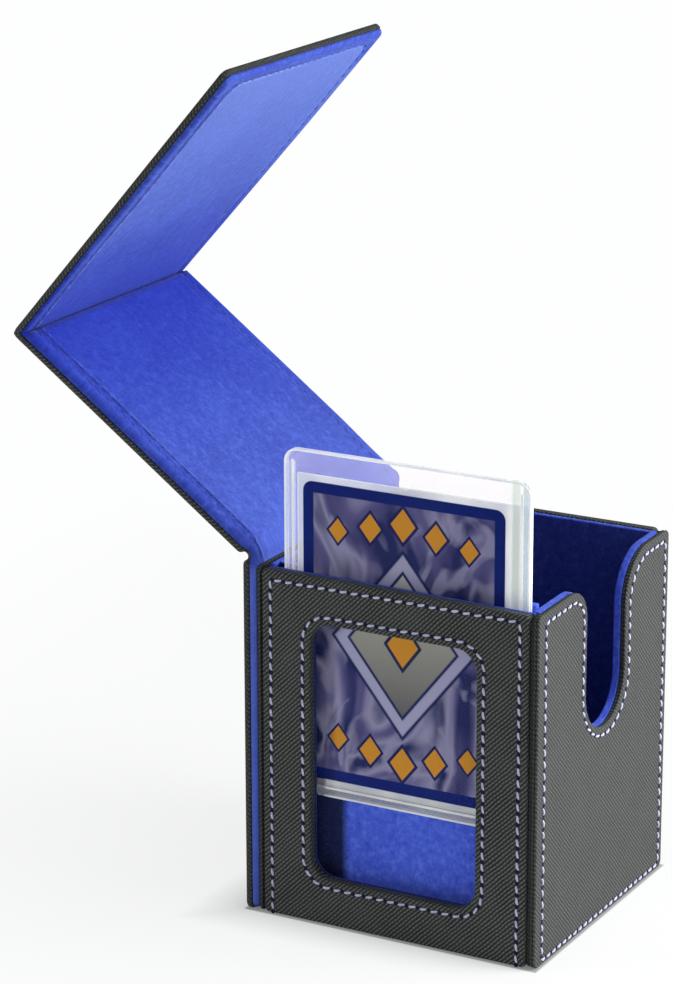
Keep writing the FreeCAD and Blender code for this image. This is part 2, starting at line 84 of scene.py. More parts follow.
class Nodes:
    # a small helper round the node tree of one material, or of the world

    def __init__(self, name, world=False):
        self.owner = (bpy.data.worlds if world else bpy.data.materials).new(name)
        self.owner.use_nodes = True
        self.tree = self.owner.node_tree
        self.tree.nodes.clear()
        self.outputKind = "OutputWorld" if world else "OutputMaterial"

    def add(self, kind, inputs=None, **settings):
        # gives a new node's outputs; each of its inputs is a value or another node's output
        node = self.tree.nodes.new("ShaderNode" + kind)
        for key, value in settings.items():
            setattr(node, key, value)
        for key, value in (inputs or {}).items():
            if isinstance(value, bpy.types.NodeSocket):
                self.tree.links.new(value, node.inputs[key])
            else:
                node.inputs[key].default_value = value
        return node.outputs

    def math(self, operation, *values, clamp=False):
        return self.add("Math", dict(enumerate(values)), operation=operation, use_clamp=clamp)[0]

    def plus(self, first, second):
        return self.math("ADD", first, second)

    def minus(self, first, second):
        return self.math("SUBTRACT", first, second)

    def times(self, first, *others):
        for other in others:
            first = self.math("MULTIPLY", first, other)
        return first

    def size(self, value):
        return self.math("ABSOLUTE", value)

    def most(self, first, second):
        return self.math("MAXIMUM", first, second)

    def hump(self, phase, power):
        # a wave between 0 and 1
        return self.math("POWER", self.plus(self.times(self.math("SINE", phase), 0.5), 0.5), power)

    def noise(self, vector, scale, detail=3.0, rough=0.55, distortion=0.0):
        return self.add("TexNoise", {"Vector": vector, "Scale": scale, "Detail": detail, "Roughness": rough,
                                     "Distortion": distortion})["Fac"]

    def scaled(self, vector, x, y, z):
        return self.add("VectorMath", {0: vector, 1: (x, y, z)}, operation="MULTIPLY")[0]

    def axes(self, vector):
        return self.add("SeparateXYZ", {0: vector})

    def ramp(self, factor, *stops):
        result = self.add("ValToRGB", {0: factor})[0]
        elements = result.node.color_ramp.elements
        while len(elements) < len(stops):
            elements.new(0.5)
        for element, (place, color) in zip(elements, stops):
            element.position = place
            element.color = opaque(color)
        return result

    def mix(self, factor, first, second):
        return self.add("Mix", {0: factor, 6: opaque(first), 7: opaque(second)}, data_type="RGBA")[2]

    def spread(self, value, low, high, fromLow=0.0, fromHigh=1.0):
        return self.add("MapRange", dict(enumerate((value, fromLow, fromHigh, low, high))))[0]

    def bump(self, height, distance, strength=1.0, under=None):
        inputs = {"Height": height, "Distance": distance, "Strength": strength}
        if under is not None:
            inputs["Normal"] = under
        return self.add("Bump", inputs)["Normal"]

    def surface(self, source):
        self.add(self.outputKind, {"Surface": source})
        return self.owner

    def shader(self, **sockets):
        named = {name.replace("_", " "): value for name, value in sockets.items()}
        return self.surface(self.add("BsdfPrincipled", named)[0])

    def light(self, kind, color, strength):
        return self.add(kind, {"Color": opaque(color), "Strength": strength})[0]

    def mixShaders(self, factor, first, second):
        return self.add("MixShader", {0: factor, 1: first, 2: second})[0]

    def cloth(self):
        # the piece's own flat coordinates, in millimetres
        return self.scaled(self.add("TexCoord")["UV"], uvSpan, uvSpan, uvSpan)

    def place(self):
        # the object's coordinates, in millimetres
        return self.scaled(self.add("TexCoord")["Object"], 1 / mm, 1 / mm, 1 / mm)


ribbedLeather = {"pitch": 1.0, "angle": 45.0, "bead": 1.35, "beadShift": 0.47, "wobble": 0.7,
                 "wobbleScale": 0.22, "grainScale": 3.2, "patchScale": 0.08, "depth": 0.00030,
                 "patchDepth": 0.0011, "gloss": 0.44, "matt": 0.85, "crest": (0.140, 0.162, 0.148),
                 "paintedValleyShade": (0.003, 0.004, 0.004)}


def leatherMaterial(name="ribbedLeather", lift=1.0, paintedValleyShade=0.0, relief=1.0):
    # slanting ribs of beads, with painted shade between the ribs; lift scales the tone for lighter and darker
    # copies that paint light and shade, and paintedValleyShade raises the tone between the ribs, for leather
    # that looks smoother
    n = Nodes(name)
    spot = n.cloth()
    flat = n.axes(spot)
    turn, whole = math.radians(ribbedLeather["angle"]), 2 * math.pi
    wave = n.noise(spot, ribbedLeather["wobbleScale"], 2.0)
    wobble = n.times(n.minus(wave, 0.5), ribbedLeather["wobble"])
    across = n.plus(n.times(flat[0], -math.sin(turn)), n.times(flat[1], math.cos(turn)))
    along = n.plus(n.times(flat[0], math.cos(turn)), n.times(flat[1], math.sin(turn)))
    phase = n.times(n.plus(across, wobble), whole / ribbedLeather["pitch"])
    ribNumber = n.math("FLOOR", n.math("DIVIDE", phase, whole))
    shift = n.times(n.math("FRACT", n.times(ribNumber, ribbedLeather["beadShift"])), whole)
    bead = n.hump(n.plus(n.times(along, whole / ribbedLeather["bead"]), shift), 0.6)
    grain = n.noise(spot, ribbedLeather["grainScale"], 3.0, 0.6)
    broad = n.noise(spot, ribbedLeather["patchScale"], 2.0)
    height = n.times(n.hump(phase, 2.0), n.plus(n.times(bead, 0.72), 0.36))
    tone = n.math("MULTIPLY", height, n.spread(grain, 0.65, 1.25, 0.3, 0.7), clamp=True)
    crest = toned(ribbedLeather["crest"], lift)
    # painted shade between the ribs: the valleys go nearly black
    color = n.mix(tone, tuple(c + paintedValleyShade for c in ribbedLeather["paintedValleyShade"]), crest)
    color = n.mix(n.spread(broad, 0.0, 0.10, 0.35, 0.7), color, toned(crest, 1.15))
    rise = n.plus(height, n.times(grain, 0.25))
    patches = n.bump(broad, ribbedLeather["patchDepth"], 0.6)
    normal = n.bump(rise, ribbedLeather["depth"] * relief, 0.9, patches)
    rough = n.spread(height, ribbedLeather["matt"], ribbedLeather["gloss"], 0.1, 0.9)
    return n.shader(Base_Color=color, Roughness=rough, Normal=normal, Specular_IOR_Level=0.5)


# lit and deep are the suede's own tones; pale, folded, groove, paintedRidgeHighlight and roll are painted
# light and shade along the seams, and shadow is a painted shadow
blueSuede = {"broadScale": 0.035, "patchScale": 0.35, "fibreScale": 0.95, "patchDepth": 0.0004,
             "fibreDepth": 0.00018, "lit": (0.058, 0.105, 0.535), "deep": (0.020, 0.037, 0.35), "nap": 0.25,
             "napTint": (0.45, 0.60, 1.0, 1.0), "pale": (0.17, 0.25, 0.66), "folded": (0.005, 0.018, 0.44),
             "groove": (0.010, 0.018, 0.16), "paintedRidgeHighlight": (0.26, 0.34, 0.80), "roll": (0.13, 0.21, 0.75),
             "shadow": (0.001, 0.002, 0.008)}


def seamPaintedLight(n, flat, speck, color, seam):
    # painted light and shade along the stitch row: painted shade in a dark groove, a painted highlight on a
    # bright ridge, painted light that makes the suede paler inside the row, and painted shade near the fold
    corner = seam["corner"]
    offY = n.minus(n.size(flat[1]), seam["half"] - corner)
    offQ = n.minus(n.times(flat[0], seam["sign"]), seam["end"] - corner)
    outY, outQ = n.most(offY, 0.0), n.most(offQ, 0.0)
    off = n.minus(n.math("SQRT", n.plus(n.times(outY, outY), n.times(outQ, outQ))), corner)
    farSide = n.times(n.spread(flat[1], 0.0, 1.0, 28.0, 36.0), n.spread(flat[0], 1.0, 0.0, 90.0, 100.0))
    inner = n.most(n.spread(off, 1.0, 0.0, -0.5, 0.1), farSide)
    tip = n.spread(flat[0], 0.0, 1.0, *seam["paintedLightFrom"])
    # painted light: paler inside the row, more towards the paintedLightFrom end
    color = n.mix(n.times(tip, inner, seam["pale"]), color, blueSuede["pale"])
    # painted shade near the fold
    color = n.mix(n.spread(flat[0], *seam["paintedFoldShadeReach"]), color, blueSuede["folded"])
    # painted shade in the groove and painted highlight on the ridge, stronger on the near side
    nearSide = n.spread(flat[1], 1.0, 0.25, -2.0, 2.0)
    groove = n.times(n.spread(off, 0.0, 1.0, -0.3, 0.2), n.spread(off, 1.0, 0.0, 0.6, 1.5),
                     n.spread(speck, 0.15, 1.0, 0.40, 0.54), 0.85, nearSide)
    paintedRidgeHighlight = n.times(n.spread(off, 0.0, 1.0, -1.1, -0.6), n.spread(off, 1.0, 0.0, -0.4, 0.0),
                    n.spread(speck, 0.0, seam["paintedHighlight"], 0.38, 0.6), nearSide)
    color = n.mix(paintedRidgeHighlight, n.mix(groove, color, blueSuede["groove"]), blueSuede["paintedRidgeHighlight"])
    if seam["sign"] < 0:
        # painted highlight where the side panel's roll catches the light
        color = n.mix(n.spread(flat[0], 0.5, 0.0, -5.0, -1.0), color, blueSuede["roll"])
    return color


def suedeMaterial(name="blueSuede", paintedLightTone=1.0, seam=None, shade=None):
    n = Nodes(name)
    spot = n.cloth()
    broad = n.noise(spot, blueSuede["broadScale"], 2.0, 0.5, 0.4)
    patch = n.noise(spot, blueSuede["patchScale"], 5.0, 0.72)
    fibre = n.noise(n.scaled(spot, 1.0, 0.75, 1.0), blueSuede["fibreScale"], 4.0, 0.8)
    # paintedLightTone makes a copy of the suede: lighter copies paint light, darker copies paint shade
    lit, deep = (tuple(c * paintedLightTone for c in blueSuede[key]) for key in ("lit", "deep"))
    color = n.mix(n.spread(broad, 0.30, 0.95, 0.3, 0.7), deep, lit)
    color = n.mix(n.spread(patch, 0.0, 0.9, 0.46, 0.70), color, deep)
    color = n.mix(n.spread(patch, 0.65, 0.0, 0.30, 0.46), color, toned(lit, 1.5))
    color = n.mix(n.spread(fibre, 0.0, 0.6, 0.5, 0.8), color, toned(lit, 1.7))
    color = n.mix(n.spread(fibre, 0.6, 0.0, 0.22, 0.45), color, toned(deep, 0.5))
    if seam is not None:
        color = seamPaintedLight(n, n.axes(spot), n.noise(spot, 0.5, 2.0, 0.6), color, seam)
    if shade is not None:
        # painted shadow of the window's left edge: deep shade at one side, on the front face only
        place = n.axes(n.place())
        side = n.spread(place[0], 0.10, 1.0, shade["from"], shade["to"])
        behind = n.spread(place[1], 0.0, 1.0, shade["face"] + 0.2, shade["face"] + 0.5)
        color = n.mix(n.most(side, behind), blueSuede["shadow"], color)
    relief = n.bump(fibre, blueSuede["fibreDepth"], 0.8, n.bump(patch, blueSuede["patchDepth"], 0.6))
    return n.shader(Base_Color=color, Roughness=0.92, Normal=relief, Specular_IOR_Level=0.18,
                    Sheen_Weight=blueSuede["nap"], Sheen_Roughness=0.45, Sheen_Tint=blueSuede["napTint"])


def threadMaterial(name, color, shade):
    n = Nodes(name)
    spot = n.place()
    twist = n.math("SINE", n.times(n.noise(spot, 1.6, 1.0), 40.0))
    tone = n.mix(n.spread(twist, 0.0, 1.0, -1.0, 1.0), shade, color)
    tone = n.mix(n.spread(n.noise(spot, 0.35, 1.0), 0.0, 0.45, 0.4, 0.65), tone, shade)
    return n.shader(Base_Color=tone, Roughness=0.5, Specular_IOR_Level=0.4,
                    Normal=n.bump(twist, 0.00006, 0.6))


# a flat disc whose dark colour is the painted shade inside a hole or dimple
def holeMaterial(name, dark, light):
    n = Nodes(name)
    color = n.mix(n.noise(n.place(), 1.5, 2.0), dark, light)
    return n.shader(Base_Color=color, Roughness=0.8, Specular_IOR_Level=0.2)


def boardMaterial():
    n = Nodes("greyBoard")
    fibre = n.noise(n.scaled(n.place(), 0.6, 0.6, 2.5), 1.1, 4.0)
    color = n.ramp(fibre, (0.3, (0.20, 0.18, 0.15)), (0.7, (0.30, 0.28, 0.25)))
    return n.shader(Base_Color=color, Roughness=0.9, Normal=n.bump(fibre, 0.0002, 0.5))


def magnetMaterial():
    n = Nodes("magnetSteel")
    brush = n.noise(n.scaled(n.place(), 6.0, 0.4, 0.4), 1.2, 3.0)
    color = n.ramp(brush, (0.3, (0.42, 0.42, 0.43)), (0.7, (0.62, 0.62, 0.63)))
    return n.shader(Base_Color=color, Metallic=1.0, Roughness=n.spread(brush, 0.25, 0.45),
                    Normal=n.bump(brush, 0.00005, 0.4))


# beside the card the toploader's layers stand close together and show as pale and green-grey bands; the pale
# bands are painted highlights, and all the bands also colour the painted glow
paintedEdgeBands = {"width": 8.6, "strength": 0.50,
            "bands": [(0.20, (0.78, 0.82, 0.78)), (0.32, (0.55, 0.60, 0.55)), (0.52, (0.60, 0.65, 0.60)),
                      (0.60, (0.92, 0.94, 0.94)), (0.68, (0.40, 0.48, 0.46)), (0.84, (0.46, 0.54, 0.52)),
                      (0.92, (0.90, 0.95, 0.95))]}
# where the painted glow of the plastic fades inside the case
paintedGlowFade = {"from": 96.0, "to": 108.0, "share": 0.18}


def paintedGlowStrength(n, paintedGlow):
    # painted glow: the emission that makes the plastic look milky and lit fades where the toploader stands
    # down in the case
    if paintedGlow == 0.0:
        return 0.0
    return n.spread(n.axes(n.place())[2], paintedGlow * paintedGlowFade["share"], paintedGlow, paintedGlowFade["from"], paintedGlowFade["to"])


def clearMaterial(name, color, alphaLow, alphaHigh, rough, haze, paintedGlow=0.0, hazeFrom=None):
    n = Nodes(name)
    spot = n.place()
    smear = n.noise(n.scaled(spot, 0.6, 0.6, 0.25), haze, 3.0, 0.5, 0.8)
    slanted = n.times(n.math("POWER", n.add("LayerWeight", {"Blend": 0.2})["Facing"], 3.0), 0.5)
    alpha = n.math("ADD", n.spread(smear, alphaLow, alphaHigh, 0.35, 0.7), slanted, clamp=True)
    tint = n.mix(smear, color, toned(color, 1.15))
    glow = (*color, 1.0)
    if hazeFrom is not None:
        # painted highlights and painted glow in the bands beside the card
        across = n.axes(spot)[0]
        denser = n.spread(across, 0.0, paintedEdgeBands["strength"], hazeFrom, hazeFrom + 1.0)
        alpha = n.math("ADD", alpha, denser, clamp=True)
        share = n.spread(across, 0.0, 1.0, hazeFrom, hazeFrom + paintedEdgeBands["width"])
        tint = glow = n.ramp(share, (0.0, color), *paintedEdgeBands["bands"])
    return n.shader(Base_Color=tint, Alpha=alpha, Roughness=rough, Specular_IOR_Level=0.6,
                    Normal=n.bump(smear, 0.0004, 0.25), Emission_Color=glow,
                    Emission_Strength=paintedGlowStrength(n, paintedGlow))


print("materials: helpers ready")

# painted light and shade along the seams: pale and paintedLightFrom make the suede paler,
# paintedFoldShadeReach darkens it near the fold, paintedHighlight lights the ridge
flapSeam = {"half": 39.9, "end": 104.7, "corner": 5.0, "sign": 1.0, "pale": 0.70, "paintedLightFrom": (30.0, 115.0),
            "paintedFoldShadeReach": (0.85, 0.0, 2.0, 48.0), "paintedHighlight": 0.8}
lidSeam = {"half": 39.9, "end": 103.0, "corner": 2.0, "sign": -1.0, "pale": 0.16, "paintedLightFrom": (75.0, 0.0),
           "paintedFoldShadeReach": (0.0, 0.6, 30.0, 90.0), "paintedHighlight": 0.25}
# where the painted shadow of the window's left edge falls on the divider's front face
windowShade = {"from": -20.6, "to": -18.0, "face": nodeBox("divider_suede")[0].y}

leather = leatherMaterial()
# painted light: the right slab's leather is a toned copy with raised valleys, for the grey sheen on that side
paintedLightSlabLeather = leatherMaterial("paintedLightSlabRibbedLeather", 0.60, 0.028, 0.45)
# painted shade: a darker copy of the leather for rims and shaded sides
paintedShadeEdgeLeather = leatherMaterial("paintedShadeRibbedLeather", 0.42, 0.004, 0.5)
# painted shadow: near-black leather for the gaps between parts
foldedLeather = leatherMaterial("foldedLeather", 0.07, 0.0, 0.5)
suede = suedeMaterial()
# painted shade: the linings are a darker copy of the suede, for the shade inside the case
paintedShadeLiningSuede = suedeMaterial("paintedShadeLiningSuede", paintedLightTone=0.42)
flapSuede = suedeMaterial("flapSuede", seam=flapSeam)
lidSuede = suedeMaterial("lidSuede", paintedLightTone=0.98, seam=lidSeam)
# painted light and shadow: the divider is a much lighter copy of the suede, with the painted shadow of
# windowShade
paintedLightDividerSuede = suedeMaterial("paintedLightDividerSuede", paintedLightTone=1.9, shade=windowShade)
# painted light: the linings' rims are a lighter copy of the suede, where light catches the edges
paintedLightRimSuede = suedeMaterial("paintedLightRimSuede", paintedLightTone=1.2)
thread = threadMaterial("lavenderThread", (0.86, 0.86, 1.0), (0.50, 0.49, 0.80))
blueThread = threadMaterial("blueThread", (0.066, 0.118, 0.52), (0.04, 0.07, 0.40))
# painted shade: dark discs for the needle holes and the suede's dimples
needleHole = holeMaterial("needleHole", (0.003, 0.003, 0.012), (0.012, 0.011, 0.05))
suedeDimple = holeMaterial("suedeDimple", (0.016, 0.028, 0.20), (0.026, 0.045, 0.30))
board = boardMaterial()
magnetSteel = magnetMaterial()
sheetPlastic = clearMaterial("clearSheet", (0.35, 0.35, 0.45), 0.002, 0.012, 0.08, 0.03)
# painted glow: the back sheet glows like a lit milky film
backSheetPlastic = clearMaterial("clearBackSheet", (0.84, 0.77, 0.85), 0.24, 0.42, 0.12, 0.03, paintedGlow=0.60,
                                 hazeFrom=nodeBox("card")[1].x - 1.0)
# painted glow on the welded edge
weldPlastic = clearMaterial("weldedEdge", (0.62, 0.66, 0.76), 0.15, 0.35, 0.15, 0.08, paintedGlow=0.3)
panePlastic = clearMaterial("clearPane", (0.30, 0.32, 0.45), 0.002, 0.01, 0.06, 0.02)
sleeveFilm = clearMaterial("sleeveFilm", (0.35, 0.36, 0.45), 0.002, 0.012, 0.2, 0.05)


# mesh helpers
class Sheet:
    # a flat sheet's place: a and b run along it, and lift rises out of it

    def __init__(self, origin, aWay, bWay, out):
        self.origin = Vector(origin)
        self.aWay, self.bWay, self.out = Vector(aWay), Vector(bWay), Vector(out)

    def at(self, a, b, lift=0.0):
        return (self.origin + self.aWay * a + self.bWay * b + self.out * lift) * mm

    def lifts(self, low, high, outer=0.0, inner=0.0):
        # the lifts of a box's two faces, moved by outer and inner
        first, second = (high - self.origin).dot(self.out), (low - self.origin).dot(self.out)
        return max(first, second) + outer, min(first, second) + inner


def sheetFront(y):
    return Sheet((0, y, 0), (1, 0, 0), (0, 0, 1), (0, -1, 0))


def sheetBack(y):
    return Sheet((0, y, 0), (-1, 0, 0), (0, 0, 1), (0, 1, 0))


frontFace, backFace = sheetFront(frontLow.y), sheetBack(backHigh.y)
rightFace = Sheet((slabHigh.x, 0, 0), (0, 1, 0), (0, 0, 1), (1, 0, 0))
leftFace = Sheet((leftLow.x, 0, 0), (0, -1, 0), (0, 0, 1), (-1, 0, 0))
floorFace = Sheet((0, 0, 0), (1, 0, 0), (0, 1, 0), (0, 0, 1))


def roundedPath(corners, step=0.5, closed=True):
    # corners are (a, b, radius); one with a radius gets an arc
    points = []
    count = len(corners)
    for index, (a, b, radius) in enumerate(corners):
        here = Vector((a, b))
        if not closed and index in (0, count - 1) or radius <= 0:
            points.append(here)
            continue
        before = (Vector(corners[index - 1][:2]) - here).normalized()
        after = (Vector(corners[(index + 1) % count][:2]) - here).normalized()
        half = before.angle(after) / 2
        reach = radius / math.tan(half)
        centre = here + (before + after).normalized() * (radius / math.sin(half))
        start, end = here + before * reach - centre, here + after * reach - centre
        sweep = start.angle(end)
        sign = 1 if start.x * end.y - start.y * end.x > 0 else -1
        steps = max(3, int(radius * sweep / step))
        for k in range(steps + 1):
            turn = sign * sweep * k / steps
            points.append(centre + Vector((start.x * math.cos(turn) - start.y * math.sin(turn),
                                           start.x * math.sin(turn) + start.y * math.cos(turn))))
    return points


def rectanglePath(a0, a1, b0, b1, radius):
    return roundedPath([(a0, b0, radius), (a1, b0, radius), (a1, b1, radius), (a0, b1, radius)])


def boxPath(low, high, radius, inset=0.0, flip=False):
    # a box's outline seen from the front, or from the back if it is flipped
    left, right = (-high.x, -low.x) if flip else (low.x, high.x)
    return rectanglePath(left + inset, right - inset, low.z + inset, high.z - inset, radius)


sharpLimit = 0.35  # keeps a narrow corner from running far out


def inward(loop, amount):
    # the same loop drawn in by an amount, corner for corner; the loop runs anticlockwise
    result = []
    count = len(loop)
    for index, here in enumerate(loop):
        before = (here - loop[index - 1]).normalized()
        after = (loop[(index + 1) % count] - here).normalized()
        left, right = Vector((-before.y, before.x)), Vector((-after.y, after.x))
        middle = (left + right).normalized()
        result.append(here + middle * (amount / max(sharpLimit, middle.dot(left))))
    return result


def dressMesh(name, bm, materials, smooth=True, weighted=False):
    mesh = bpy.data.meshes.new(name)
    bmesh.ops.recalc_face_normals(bm, faces=bm.faces)
    bm.to_mesh(mesh)
    bm.free()
    for polygon in mesh.polygons:
        polygon.use_smooth = smooth
    for material in materials:
        mesh.materials.append(material)
    piece = bpy.data.objects.new(name, mesh)
    bpy.context.scene.collection.objects.link(piece)
    if weighted:
        piece.modifiers.new("evenNormals", "WEIGHTED_NORMAL").keep_sharp = True
    return piece


def rimCurve(top, bottom, rounds, steps=5):
    # (inset, lift) pairs down a plate's rim, with a quarter round at each edge
    curve = []
    for lift, radius, sign in ((top, rounds[0], -1), (bottom, rounds[1], 1)):
        turns = [math.pi / 2 * k / steps for k in range(steps + 1)] if radius > 0 else [0.0]
        quarter = [(radius * (1 - math.cos(turn)), lift + sign * radius * (1 - math.sin(turn)))
                   for turn in turns]
        curve += reversed(quarter) if sign < 0 else quarter
    return curve


def joinRings(bm, rings, closed=False):
    count = len(rings[0])
    for first, second in zip(rings, rings[1:] + rings[:1] if closed else rings[1:]):
        for j in range(count):
            after = (j + 1) % count
            bm.faces.new((first[j], first[after], second[after], second[j]))


def plate(name, sheet, outline, lifts, rounds, material, holes=(), mirror=False, thin=False, rim=None):
    # a plate of one outline between two lifts, with rounded rims; a thin one has no second skin
    # the pattern runs on round the rim, and rim may be another material: a lighter or darker copy that paints
    # light or shade on the outline's rim
    bm = bmesh.new()
    uv = bm.loops.layers.uv.new("flat")
    side = -uvSpan if mirror else uvSpan
    curve = rimCurve(*lifts, rounds)
    runs = [0.0]
    for first, second in zip(curve, curve[1:]):
        runs.append(runs[-1] + math.dist(first, second))
    capEdges, flat = [[], []], {}
    for loop, sign in [(outline, 1)] + [(hole, -1) for hole in holes]:
        layers, marks = [], []
        start = inward(loop, sign * curve[0][0]) if curve[0][0] else loop
        ways = [(far - here).normalized() for far, here in zip(inward(loop, -sign), loop)]
        for (inset, lift), run in zip(curve, runs):
            moved = inward(loop, sign * inset) if inset else loop
            layers.append([bm.verts.new(sheet.at(p.x, p.y, lift)) for p in moved])
            marks.append([here + way * run for here, way in zip(start, ways)])
            flat.update(zip(layers[-1], moved))
        count = len(loop)
        for upper, lower, upperMarks, lowerMarks in zip(layers, layers[1:], marks, marks[1:]):
            for k in range(count):
                after = (k + 1) % count
                face = bm.faces.new((upper[k], upper[after], lower[after], lower[k]))
                face.material_index = 1 if rim and sign > 0 else 0
                spots = (upperMarks[k], upperMarks[after], lowerMarks[after], lowerMarks[k])
                for corner, spot in zip(face.loops, spots):
                    corner[uv].uv = (spot.x / side, spot.y / uvSpan)
        for cap, ring in zip(capEdges, (layers[0], layers[-1])):
            cap += [bm.edges.get((ring[k], ring[(k + 1) % count])) for k in range(count)]
    for cap in capEdges[:1] if thin else capEdges:
        made = bmesh.ops.triangle_fill(bm, use_beauty=True, use_dissolve=False, edges=cap)["geom"]
        for face in made:
            if isinstance(face, bmesh.types.BMFace):
                face.material_index = 0
                for corner in face.loops:
                    corner[uv].uv = (flat[corner.vert].x / side, flat[corner.vert].y / uvSpan)
    return dressMesh(name, bm, [material, rim] if rim else [material], weighted=True)


# short dashes of thread that dip into the leather, with a needle hole between two of them, drawn as a dark
# disc of painted shade
stitch = {"pitch": 3.46, "dash": 2.15, "thick": 0.38, "endThick": 0.35, "flatten": 0.8, "uneven": 0.1,
          "tip": 0.04, "blunt": 0.45, "rise": 0.16, "sink": 0.22, "slant": 0.09, "wander": 0.12,
          "hole": 0.66, "holeLong": 1.15, "holeLift": 0.04, "steps": 6, "sides": 8}


def walkPath(path, closed):
    points = list(path) + ([path[0]] if closed else [])
    lengths = [0.0]
    for first, second in zip(points, points[1:]):
        lengths.append(lengths[-1] + (second - first).length)

    def at(distance):
        distance = min(max(distance, 0.0), lengths[-1])
        index = 0
        while index < len(lengths) - 2 and lengths[index + 1] < distance:
            index += 1
        share = (distance - lengths[index]) / max(1e-9, lengths[index + 1] - lengths[index])
        return points[index].lerp(points[index + 1], share)

    def ways(distance, reach):
        way = (at(distance + reach) - at(distance - reach)).normalized()
        return at(distance), way, Vector((-way.y, way.x))

    return ways, lengths[-1]


def stitchRow(bm, path, closed, surface, seed, scale, holeScale):
    # surface(a, b, lift) gives the point in space
    ways, length = walkPath(path, closed)
    count = max(2, round(length / stitch["pitch"]))
    pitch = length / count
    dash = stitch["dash"] * pitch / stitch["pitch"]
    sides, steps, tip, ends = (stitch[key] for key in ("sides", "steps", "tip", "endThick"))
    turns = [2 * math.pi * j / sides for j in range(sides)]
    for number in range(count):
        wander = noise.noise(Vector((number * 0.71, seed * 3.1, 0.4)))
        uneven = 1 + stitch["uneven"] * wander
        start = number * pitch + (pitch - dash) / 2
        rings = []
        for k in range(steps + 1):
            share = k / steps
            here, way, across = ways(start + dash * share, 0.2)
            slant = (share - 0.5) * dash * stitch["slant"] * 2 + wander * stitch["wander"]
            swell = math.sin(math.pi * (share * (1 - 2 * tip) + tip)) ** stitch["blunt"]
            radius = stitch["thick"] * scale * (ends + (1 - ends) * swell) * uneven
            lift = -stitch["sink"] + (stitch["rise"] + stitch["sink"]) * swell
            ring = []
            for turn in turns:
                spot = here + across * (slant + radius * math.cos(turn))
                height = lift + radius * stitch["flatten"] * math.sin(turn)
                ring.append(bm.verts.new(surface(spot.x, spot.y, height)))
            rings.append(ring)
        joinRings(bm, rings)
        bm.faces.new(rings[0])
        bm.faces.new(list(reversed(rings[-1])))
    reach = stitch["hole"] * holeScale
    for number in range(count if closed else count + 1):
        middle, way, across = ways(number * pitch, 0.3)
        ring = []
        for turn in turns:
            spot = middle + way * (reach * stitch["holeLong"] * math.cos(turn))
            spot += across * (reach * math.sin(turn))
            ring.append(bm.verts.new(surface(spot.x, spot.y, stitch["holeLift"])))
        bm.faces.new(ring).material_index = 1


def stitchPiece(name, rows, surface, threadKind, holeKind, scale=1.0, holeScale=1.0):
    bm = bmesh.new()
    for seed, (path, closed) in enumerate(rows):
        stitchRow(bm, path, closed, surface, seed, scale, holeScale)
    return dressMesh(name, bm, [threadKind, holeKind])


def settle(piece, body, slot, *nodes):
    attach(piece, body)
    if nodes:
        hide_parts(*nodes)


def layer(name, sheet, outline, lifts, rounds, material, slot, *nodes, body="case", **extra):
    # one plate of the object, on its body
    settle(plate(name, sheet, outline, lifts, rounds, material, **extra), body, slot, *nodes)


def seamPiece(name, rows, sheet):
    # lavender stitches on the case's leather
    settle(stitchPiece(name, rows, sheet.at, thread, needleHole), "case", "ribbed_leather")


def archPath(a0, a1, foot, top, radius):
    # from the foot to the top, across, and back to the foot
    return roundedPath([(a0, foot, 0), (a0, top, radius), (a1, top, radius), (a1, foot, 0)], closed=False)


wrapped, sawn = (0.75, 0.3), (0.1, 0.1)  # rim rounds of a leather shell, and of a board or a hidden core
seamFoot = 0.6

# front wall
windowPlace = {"left": -27.2, "right": 24.8, "bottom": 13.7, "top": 90.3, "corner": 6.5, "seamOut": 2.4}
frontPanel = {"left": -42.65, "right": 40.75, "seamLeft": -39.8, "seamRight": 38.0, "seamTop": 101.1,
              "seamCorner": 1.0, "topLeft": 103.95, "topRight": 103.2, "suedeOut": 0.35,
              "boardDown": 1.1, "boardBack": 0.9}


def windowPath(grow, corner):
    w = windowPlace
    return rectanglePath(w["left"] - grow, w["right"] + grow, w["bottom"] - grow, w["top"] + grow, corner)


def slopedPath(left, right, bottom, drop, corner, topCorner):
    # the front wall's top slopes; drop lowers it
    topRight, topLeft = frontPanel["topRight"] - drop, frontPanel["topLeft"] - drop
    return roundedPath([(left, bottom, corner), (right, bottom, corner), (right, topRight, topCorner),
                        (left, topLeft, corner)])


def buildFrontWall():
    f, w = frontPanel, windowPlace
    window = [windowPath(0.0, w["corner"])]
    layer("frontLeather", frontFace, slopedPath(f["left"], f["right"], 0.0, 0.0, 1.5, 1.2),
          frontFace.lifts(frontLow, frontHigh), wrapped, leather, "ribbed_leather", "front_leather",
          holes=window)
    low, high = nodeBox("front_lining")
    layer("frontLining", frontFace, slopedPath(low.x, high.x, 0.0, 0.05, 0.4, 0.4),
          frontFace.lifts(low, high, -f["suedeOut"]), (0.3, 0.4), paintedShadeLiningSuede, "blue_suede", "front_lining",
          holes=window, rim=paintedLightRimSuede)
    low, high = nodeBox("front_board")
    layer("frontBoard", frontFace, slopedPath(low.x, high.x, low.z, f["boardDown"], 0.5, 0.5),
          frontFace.lifts(low, high, 0.0, 0.05), sawn, board, "grey_board", "front_board",
          holes=[windowPath(f["boardBack"], w["corner"] + 0.5)])
    outer = archPath(f["seamLeft"], f["seamRight"], seamFoot, f["seamTop"], f["seamCorner"])
    ring = windowPath(w["seamOut"], w["corner"] + w["seamOut"] * 0.7)
    seamPiece("frontStitches", [(outer, False), (ring, True)], frontFace)


# back wall, base and left slab
backPanel = {"sideIn": 0.35, "topUp": 0.3, "seamIn": 2.7, "seamDown": 3.4}


